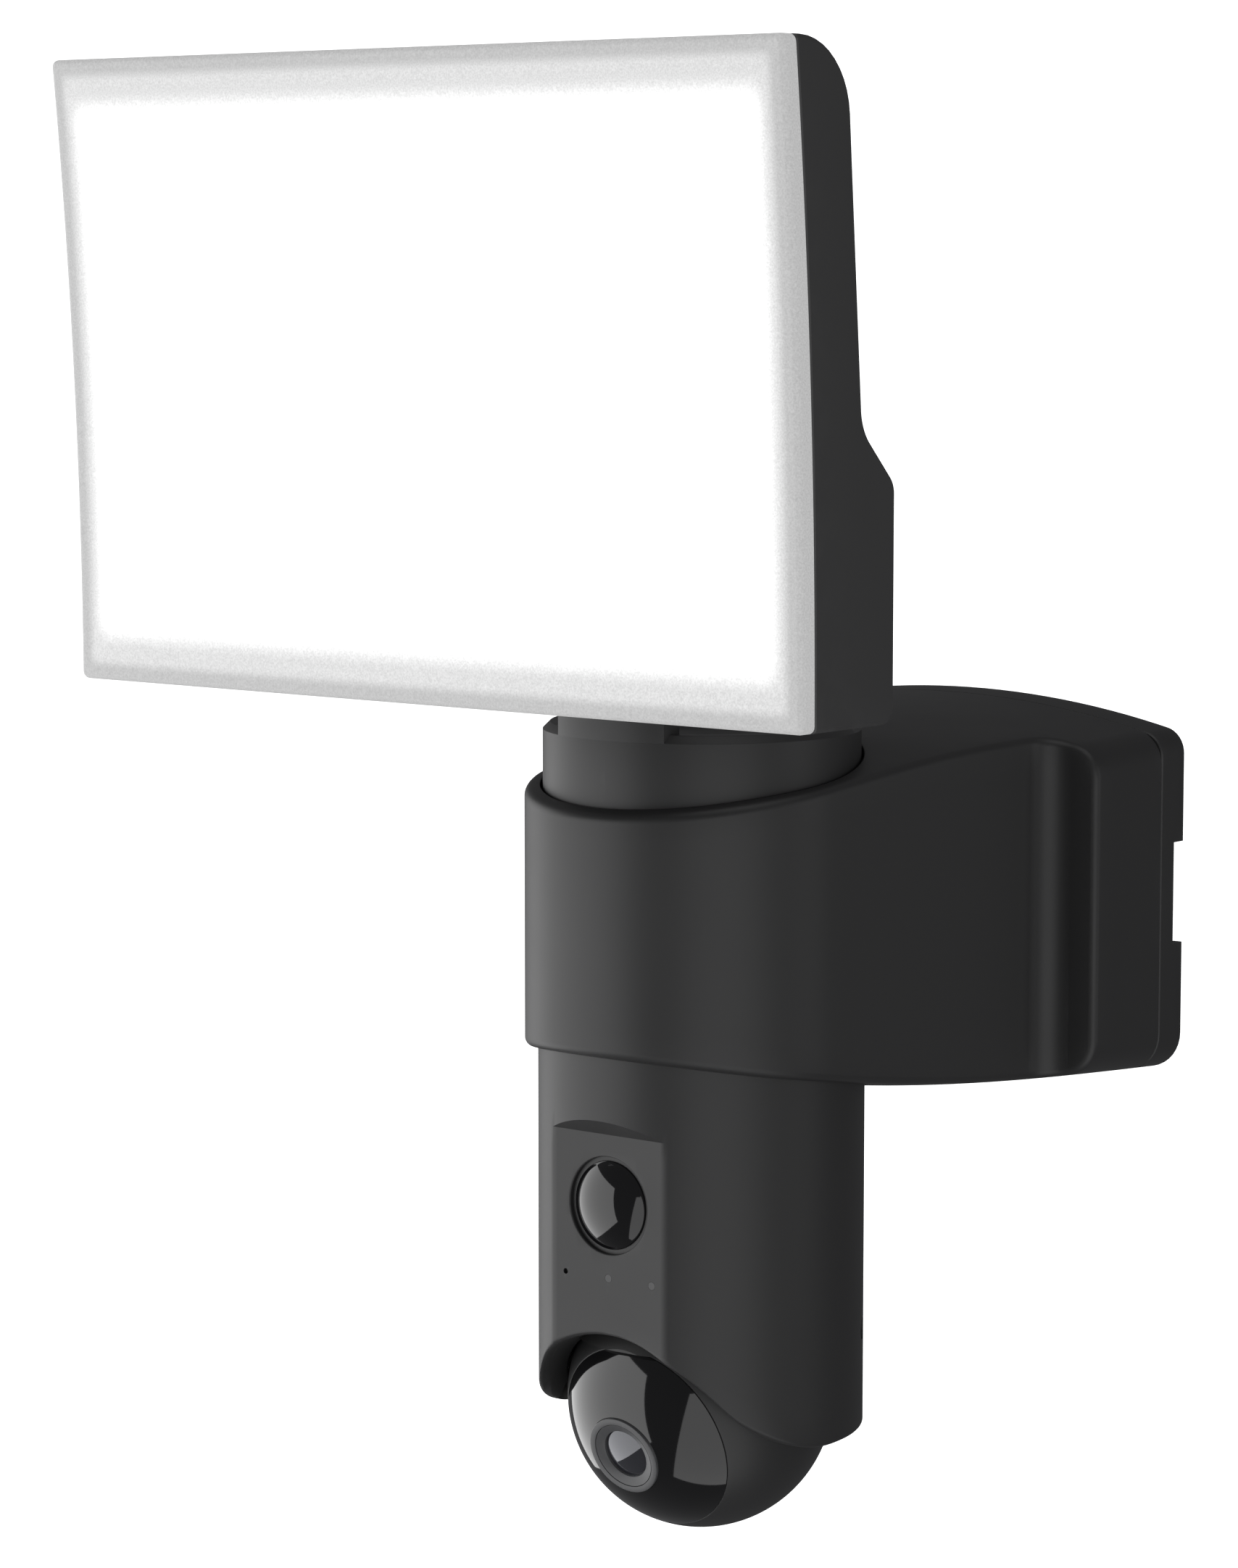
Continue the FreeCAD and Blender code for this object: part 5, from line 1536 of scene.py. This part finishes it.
# ---------------------------------------------------------------- camera head
@dataclass
class CameraHead:
    """The tube of the camera head with its flat sensor face, arched mouth and two ears."""

    radius: float = 37.0
    skin: float = 2.6
    plate: float = 33.4
    plate_skin: float = 2.4
    plate_top: float = -44.9
    arch_radius: float = 31.0
    arch_centre: float = -121.4
    ear_radius: float = 36.5
    ear_centre: float = -79.4
    mouth_soft: float = 1.6
    edge: float = 1.0
    top_edge: float = 0.6
    deck: float = 3.0
    hub_bore: float = 8.0
    sensor_hole: float = 11.0
    sensor_mouth: float = 0.35
    sound_hole: float = 0.65
    dot_hole: float = 0.95
    dot_foot: float = 1.6
    button_hole: float = 2.3
    grille_hole: float = 0.7
    grille_pitch: float = 3.0
    grille_top: float = -50.0
    screw_bore: float = 1.3
    pin_play: float = 0.06
    side_angle: float = 120.0
    side_up: float = -93.3
    dome_radius: float = 15.0
    dome_wall: float = 1.6
    ball_room: float = 31.2
    lip_top: float = -88.0
    lip_half: float = math.radians(64)
    lip_overlap: float = 0.05

    def __post_init__(self) -> None:
        """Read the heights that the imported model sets."""
        head = Extent.of("head_shell")
        self.top, self.bottom = head.high.z, head.low.z
        self.flat_half = math.acos(self.plate / self.radius)
        self.sensor = Extent.of("pir_lens")
        self.dots = Extent.of("light_pipes").middle.z
        pins = Extent.of("pivot_pins")
        self.pin, self.pin_up = (pins.high.z - pins.low.z) / 2 + self.pin_play, pins.middle.z

    def mouth(self, radius: float, turn: float) -> float:
        """Height of the lower edge at a place on the tube.

        Args:
            radius: Distance from the axis.
            turn: Angle from the front.

        Returns:
            The height.
        """
        ahead, across = radius * math.cos(turn), abs(radius * math.sin(turn))
        if ahead <= 0:
            return self.bottom
        ear = self.ear_centre - math.sqrt(max(0.0, self.ear_radius ** 2 - ahead ** 2))
        if across >= self.arch_radius:
            return ear
        arch = self.arch_centre + math.sqrt(self.arch_radius ** 2 - across ** 2)
        overlap = max(0.0, 1 - abs(ear - arch) / self.mouth_soft)
        return max(ear, arch) + overlap ** 2 * self.mouth_soft / 4

    def outer(self, turn: float, z: float) -> float:
        """Distance of the outer face from the axis at an angle from the front and a height."""
        if abs(turn) >= self.flat_half:
            return self.radius
        return min(self.radius, (self.plate + max(0.0, z - self.plate_top)) / math.cos(turn))

    def inner(self, turn: float) -> float:
        """Distance of the inner face from the axis at an angle from the front."""
        limit = self.radius - self.skin
        ahead = math.cos(turn)
        return min(limit, (self.plate - self.plate_skin) / ahead) if ahead > 0.5 else limit

    def turns(self) -> list[float]:
        """Angles of the columns, with a column on each edge of the flat."""
        flat = spread(-self.flat_half, self.flat_half, 28)
        return flat + spread(self.flat_half, math.tau - self.flat_half, 150)[1:-1]

    def build_tube(self) -> bpy.types.Object:
        """Make the tube and cut its openings.

        Returns:
            The piece.
        """
        turns = [t if t <= math.pi else t - math.tau for t in self.turns()]

        def row(place: Callable[[float], Pair]) -> list[Vector]:
            return [around(turn, *place(turn)) for turn in turns]

        def lip(away: float, drop: float) -> Callable[[float], Pair]:
            def place(turn: float) -> Pair:
                radius = self.outer(turn, self.bottom) - self.edge * away
                return radius, self.mouth(radius, turn) + self.edge * drop
            return place

        def wall(share: float) -> Callable[[float], Pair]:
            def place(turn: float) -> Pair:
                radius = self.outer(turn, self.bottom)
                low = self.mouth(radius, turn) + self.edge
                return radius, low + (self.plate_top - low) * share
            return place

        def ceiling(turn: float) -> Pair:
            return self.radius, self.plate_top + max(0.0, self.radius * math.cos(turn) - self.plate)

        def inside(turn: float) -> Pair:
            return self.inner(turn), self.mouth(self.inner(turn), turn)

        rows = [row(lip(away, drop)) for away, drop in reversed(quarter(5))]
        rows += [row(wall(share)) for share in spread(0, 1, 12)[1:]]
        first = row(ceiling)
        rows += [[Vector((p.x, p.y, p.z + (self.top - self.top_edge - p.z) * share)) for p in first]
                 for share in spread(0, 1, 6)]
        for away, drop in quarter(3)[1:]:
            edge = self.radius - self.top_edge * away, self.top - self.top_edge * drop
            rows.append(row(lambda turn, place=edge: place))
        for radius, z in ((self.hub_bore, self.top), (self.hub_bore, self.top - self.deck)):
            rows.append(row(lambda turn, r=radius, h=z: (r, h)))
        rows.append(row(lambda turn: (self.inner(turn), self.top - self.deck)))
        rows.append(row(inside))
        tube = Surface()
        tube.loft(rows, ring=True)
        head = tube.finish("head_tube")
        carve(head, self.openings())
        return head

    def openings(self) -> bpy.types.Object:
        """Solids for the sensor recess, the small holes, the grille and the screw recesses.

        Returns:
            One object with all of them.
        """
        tools = Surface()
        face, inward = AXIS_Y - self.plate, Vector((0, 1, 0))
        hole, mouth, seat = self.sensor_hole, self.sensor_mouth, 1.0
        rounding = [(hole + mouth * drop, mouth * away) for away, drop in quarter(4)]
        recess = [(0, -6), (hole + 1.5, -6), *rounding, (hole, seat), (hole - 2, seat), (hole - 2, 9), (0, 9)]
        tools.turn(recess, aim(Vector((0, face, self.sensor.middle.z)), inward), 96)
        microphone, dots = Extent.of("microphone").middle.x, Extent.of("light_pipes")
        holes = [(microphone, self.sound_hole)]
        holes += [(x, self.dot_hole) for x in (dots.low.x + self.dot_foot, dots.high.x - self.dot_foot)]
        for x, radius in holes:
            tools.turn([(0, -5), (radius, -5), (radius, 9), (0, 9)],
                       aim(Vector((x, face, self.dots)), inward), 28)
        button = Extent.of("reset_button").middle
        rear = [(button.x, button.z, self.button_hole)]
        rear += [(self.grille_pitch * k, self.grille_top - self.grille_pitch * n, self.grille_hole)
                 for k in range(-2, 3) for n in range(3)]
        for x, z, radius in rear:
            tools.turn([(0, 0), (radius, 0), (radius, 12), (0, 12)],
                       aim(Vector((x, AXIS_Y + 30, z)), inward), 28)
        bore, head = self.screw_bore, 2 * self.screw_bore
        for side in (-1, 1):
            tools.turn([(0, -6), (bore, -6), (bore, 0), (head, 0), (head, 6), (0, 6)],
                       self.screw_line(side, 34.5), 32)
        for side in (-1, 1):
            tools.turn([(0, 0), (self.pin, 0), (self.pin, 5.1), (0, 5.1)], self.pin_line(side, 30.0), 32)
        return tools.finish("opening_tool")

    def screw_line(self, side: int, away: float) -> Matrix:
        """Where a shape stands on a side screw's line, at a distance from the main axis."""
        turn = math.radians(self.side_angle) * side
        return aim(around(turn, away, self.side_up), around(turn, 1.0, 0.0) - around(turn, 0.0, 0.0))

    def pin_line(self, side: int, away: float) -> Matrix:
        """Where a shape stands on a pivot pin's line, at a distance from the main axis."""
        return aim(Vector((side * away, AXIS_Y, self.pin_up)), Vector((side, 0, 0)))

    def build_dome(self) -> bpy.types.Object:
        """Make the domed cover of the motion sensor.

        Returns:
            The piece.
        """
        radius = self.sensor.high.x
        centre = Vector((0, self.sensor.low.y + self.dome_radius, self.sensor.middle.z))
        foot = centre.y - self.sensor.high.y
        widest = math.asin((radius - 0.35) / self.dome_radius)
        rim_up = self.dome_radius * math.cos(widest)
        profile = [(self.dome_radius * math.sin(t), self.dome_radius * math.cos(t))
                   for t in spread(0, widest, 28)]
        profile += [(radius - 0.12, rim_up - 0.12), (radius, rim_up - 0.3), (radius, foot)]
        shell = self.dome_radius - self.dome_wall
        edge = math.acos(foot / shell)
        profile += [(shell * math.sin(t), shell * math.cos(t)) for t in spread(edge, 0, 16)]
        dome = Surface()
        dome.turn(profile, aim(centre, Vector((0, -1, 0))), 96)
        return dome.finish("sensor_dome")

    def build_skirt(self) -> bpy.types.Object:
        """Make the thick lip that runs from the arched mouth inward to the ball.

        Returns:
            The piece.
        """
        ball = Extent.of("ball_rear").middle.z

        def reach(turn: float) -> float:
            near, far = 0.0, self.inner(turn)
            for _ in range(24):
                radius = (near + far) / 2
                outside = math.hypot(radius, self.mouth(radius, turn) - ball) > self.ball_room
                near, far = (near, radius) if outside else (radius, far)
            return far

        def section(turn: float) -> list[Vector]:
            back, front = self.inner(turn) + self.lip_overlap, reach(turn)
            path = [(radius, self.mouth(radius, turn)) for radius in spread(back, front, 10)]
            path += [(math.sqrt(max(0.0, self.ball_room ** 2 - (z - ball) ** 2)), z)
                     for z in spread(path[-1][1], self.lip_top, 8)[1:]]
            path.append((back, self.lip_top))
            return [around(turn, radius, z) for radius, z in path]

        half = self.lip_half
        while self.inner(half) - reach(half) < self.lip_overlap:
            half -= math.radians(0.5)
        skirt = Surface()
        ends = skirt.loft([section(turn) for turn in spread(-half, half, 56)])
        for end in (ends[0], ends[-1]):
            skirt.face(end)
        return skirt.finish("head_skirt")

    def build_bosses(self) -> bpy.types.Object:
        """Make the ring bosses round the pivot pins and the tubes behind the side screws.

        Returns:
            The piece.
        """
        bosses = Surface()
        pin, bore = self.pin, self.screw_bore
        for side in (-1, 1):
            bosses.turn([(pin, 0), (6, 0), (6, 1.8), (pin, 1.8)], self.pin_line(side, 33.0), 40, ring=True)
            bosses.turn([(bore, 0), (3.6, 0), (3.6, 4.9), (bore, 4.9)],
                        self.screw_line(side, 29.5), 32, ring=True)
        return bosses.finish("head_bosses")

    def build(self, wardrobe: Wardrobe) -> None:
        """Make and dress the camera head.

        Args:
            wardrobe: Holds the materials.
        """
        wardrobe.fit(self.build_tube(), "camera_head", "black_shell", "head_shell", sharp=30)
        wardrobe.fit(self.build_skirt(), "camera_head", "black_shell")
        wardrobe.fit(self.build_bosses(), "camera_head", "black_shell")
        wardrobe.fit(self.build_dome(), "camera_head", "gloss_black", "pir_lens")


# ---------------------------------------------------------------- camera ball
@dataclass
class CameraBall:
    """The tilting ball: polished front cap, matt rear shell, lens ring and window."""

    radius: float = 30.4
    skin: float = 2.2
    seam_up: float = 20.5
    seam_edge: float = 0.22
    tilt: float = 18.0
    ring: float = 9.3
    ring_bore: float = 7.8
    ring_front: float = 29.6
    window: float = 5.8

    def __post_init__(self) -> None:
        """Find the middle of the ball and its line of sight."""
        tilt = math.radians(self.tilt)
        self.centre = Vector((0, AXIS_Y, Extent.of("pivot_pins").middle.z))
        self.sight = aim(self.centre, Vector((0, -math.cos(tilt), -math.sin(tilt))))

    def arc(self, radius: float, first: float, last: float, steps: int) -> list[Pair]:
        """Part of a circle about the ball's middle between two heights on the line of sight.

        Args:
            radius: Its radius.
            first: Height of its start.
            last: Height of its end.
            steps: How many steps it has.

        Returns:
            Pairs of distance from the line of sight and height along it.
        """
        ends = (math.acos(max(-1.0, first / radius)), math.acos(max(-1.0, last / radius)))
        return [(radius * math.sin(t), radius * math.cos(t)) for t in spread(*ends, steps)]

    def build_front(self) -> bpy.types.Object:
        """Make the polished front cap.

        Returns:
            The piece.
        """
        hole = self.ring + 0.1
        room = self.radius - self.skin
        crest = math.sqrt(self.radius ** 2 - hole ** 2)
        outer = self.arc(self.radius, crest, self.seam_up + self.seam_edge, 48)
        inner = self.arc(room, self.seam_up, math.sqrt(room ** 2 - hole ** 2), 24)
        cap = Surface()
        seam = (outer[-1][0] - self.seam_edge, self.seam_up + 0.02)
        cap.turn([*outer, seam, *inner], self.sight, 144, ring=True)
        return cap.finish("ball_front_cap")

    def build_rear(self) -> bpy.types.Object:
        """Make the matt rear shell with its two pivot bores.

        Returns:
            The piece.
        """
        room = self.radius - self.skin
        outer = self.arc(self.radius, self.seam_up - self.seam_edge, -self.radius, 80)
        inner = self.arc(room, -room, self.seam_up, 60)
        rear = Surface()
        seam = (outer[0][0] - self.seam_edge, self.seam_up - 0.02)
        rear.turn([seam, *outer, *inner], self.sight, 144)
        rear.turn([inner[-1], seam], self.sight, 144)
        shell = rear.finish("ball_rear_shell")
        pins = Extent.of("pivot_pins")
        pin = (pins.high.z - pins.low.z) / 2
        bores = Surface()
        for side in (-1, 1):
            bores.turn([(0, 0), (pin, 0), (pin, 12), (0, 12)],
                       aim(Vector((side * 24.0, AXIS_Y, pins.middle.z)), Vector((side, 0, 0))), 32)
        carve(shell, bores.finish("bore_tool"))
        return shell

    def build_ring(self) -> bpy.types.Object:
        """Make the ring round the lens with its dividing groove and inner cone.

        Returns:
            The piece.
        """
        front, step, groove = self.ring_front, self.ring_front - 0.9, self.ring_front - 0.5
        wide, tight = self.ring_bore + 0.06, self.ring_bore - 0.08
        outline = soften([
            (self.ring, 25.0), (self.ring, front), (wide, front), (wide, groove), (tight, groove),
            (tight, front - 0.05), (self.window + 0.55, step + 0.25), (self.window, step),
            (self.window, 25.0)], (0, 0.16, 0.05, 0, 0, 0.06, 0.2, 0.12, 0), steps=4)
        ring = Surface()
        ring.turn(outline, self.sight, 112, ring=True)
        return ring.finish("lens_ring")

    def build_window(self) -> bpy.types.Object:
        """Make the bulged front glass.

        Returns:
            The piece.
        """
        glass = Surface()
        rim, pole, back = 28.1, 28.9, 26.6
        rise = pole - rim
        bulge = (self.window ** 2 + rise ** 2) / (2 * rise)
        edge = math.asin((self.window - 0.01) / bulge)
        face = [(bulge * math.sin(t), pole - bulge + bulge * math.cos(t)) for t in spread(0, edge, 16)]
        glass.turn([*face, (self.window - 0.01, back), (0, back)], self.sight, 80)
        return glass.finish("lens_glass")

    def build(self, wardrobe: Wardrobe) -> None:
        """Make and dress the ball.

        Args:
            wardrobe: Holds the materials.
        """
        wardrobe.fit(self.build_front(), "camera_ball", "gloss_black", "ball_front")
        wardrobe.fit(self.build_rear(), "camera_ball", "black_shell", "ball_rear")
        wardrobe.fit(self.build_ring(), "camera_ball", "lens_grey", "lens_bezel")
        wardrobe.fit(self.build_window(), "camera_ball", "dark_glass", "lens_window")


# ---------------------------------------------------------------- studio
@dataclass(frozen=True)
class SoftBox:
    """One rectangular studio light. Lengths in metres."""

    name: str
    place: tuple[float, float, float]
    target: tuple[float, float, float]
    width: float
    height: float
    power: float


@dataclass
class Studio:
    """Pale floor and backdrop, soft boxes, world and camera."""

    boxes: tuple[SoftBox, ...] = (
        SoftBox("soft_left", (-1.73, -1.10, -0.31), (0, -0.106, -0.05), 4.7, 3.0, 73.0),
        SoftBox("soft_right", (1.36, -1.19, -1.05), (0, -0.106, -0.07), 2.2, 3.6, 25.0),
        SoftBox("soft_top", (0.3, -0.5, 1.6), (0, -0.106, 0.0), 1.6, 1.2, 5.0),
        SoftBox("soft_side", (1.9, 0.6, 0.15), (0, -0.106, 0.0), 0.9, 1.6, 3.5),
    )
    floor_level: float = -0.42
    camera_place: tuple[float, float, float] = (0.6385, -0.9210, 0.1481)
    camera_turn: tuple[float, float, float] = (83.51, 0.0, 39.11)
    lens: float = 106.24

    def build_backdrop(self) -> None:
        """Make the pale floor that sweeps up behind the object."""
        sweep = bpy.data.meshes.new("sweep")
        net = bmesh.new()
        profile = [(-4.0, self.floor_level), (2.2, self.floor_level)]
        profile += [(2.2 + 1.2 * math.sin(t), self.floor_level + 1.2 * (1 - math.cos(t)))
                    for t in spread(0, math.pi / 2, 16)[1:]]
        profile.append((3.4, 5.0))
        rows = [[net.verts.new((x, y, z)) for y, z in profile] for x in (-6.0, 6.0)]
        for k in range(len(profile) - 1):
            net.faces.new((rows[0][k], rows[1][k], rows[1][k + 1], rows[0][k + 1]))
        net.to_mesh(sweep)
        net.free()
        backdrop = bpy.data.objects.new("sweep", sweep)
        bpy.context.scene.collection.objects.link(backdrop)
        pale = bpy.data.materials.new("pale_paper")
        pale.use_nodes = True
        surface = pale.node_tree.nodes["Principled BSDF"]
        surface.inputs["Base Color"].default_value = (0.9, 0.9, 0.9, 1)
        surface.inputs["Roughness"].default_value = 0.9
        surface.inputs["Emission Color"].default_value = (1, 1, 1, 1)
        surface.inputs["Emission Strength"].default_value = 1.2
        sweep.materials.append(pale)
        sweep.shade_smooth()
        for ray in ("diffuse", "glossy", "transmission", "volume_scatter", "shadow"):
            setattr(backdrop, "visible_" + ray, False)

    def build_light(self, box: SoftBox) -> None:
        """Hang one soft box.

        Args:
            box: Its place, size and power.
        """
        lamp = bpy.data.lights.new(box.name, "AREA")
        lamp.shape = "RECTANGLE"
        lamp.size, lamp.size_y, lamp.energy = box.width, box.height, box.power
        thing = bpy.data.objects.new(box.name, lamp)
        thing.location = box.place
        aimed = Vector(box.target) - Vector(box.place)
        thing.rotation_euler = aimed.to_track_quat("-Z", "Y").to_euler()
        bpy.context.scene.collection.objects.link(thing)

    def build_world(self) -> None:
        """Set a dim, even surrounding."""
        world = bpy.data.worlds.new("studio_air")
        world.use_nodes = True
        air = world.node_tree.nodes["Background"]
        air.inputs["Color"].default_value = (0.12, 0.12, 0.123, 1)
        air.inputs["Strength"].default_value = 1.0
        bpy.context.scene.world = world

    def build_camera(self) -> None:
        """Stand the camera in front, on the right and a little above."""
        camera = bpy.data.cameras.new("main_camera")
        camera.lens = self.lens
        camera.sensor_width = 36
        camera.clip_start = 0.05
        camera.clip_end = 50
        thing = bpy.data.objects.new("main_camera", camera)
        thing.location = self.camera_place
        thing.rotation_euler = [math.radians(a) for a in self.camera_turn]
        bpy.context.scene.collection.objects.link(thing)
        bpy.context.scene.camera = thing

    def build(self) -> None:
        """Set the whole stage."""
        bpy.context.scene.view_settings.view_transform = "Standard"
        self.build_backdrop()
        self.build_world()
        self.build_camera()
        for box in self.boxes:
            self.build_light(box)


def main() -> None:
    """Build every sub-assembly, dress what is left, and set the stage."""
    logging.basicConfig(level=logging.INFO, format="%(name)s: %(message)s")
    wardrobe = Wardrobe()
    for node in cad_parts.values():
        wardrobe.dress_sub_part(node)
    for sub_assembly in (ArmAndWallBox(), LampSwivel(), LampHead(), CameraHead(), CameraBall()):
        sub_assembly.build(wardrobe)
    Studio().build()


if __name__ == "__main__":
    main()
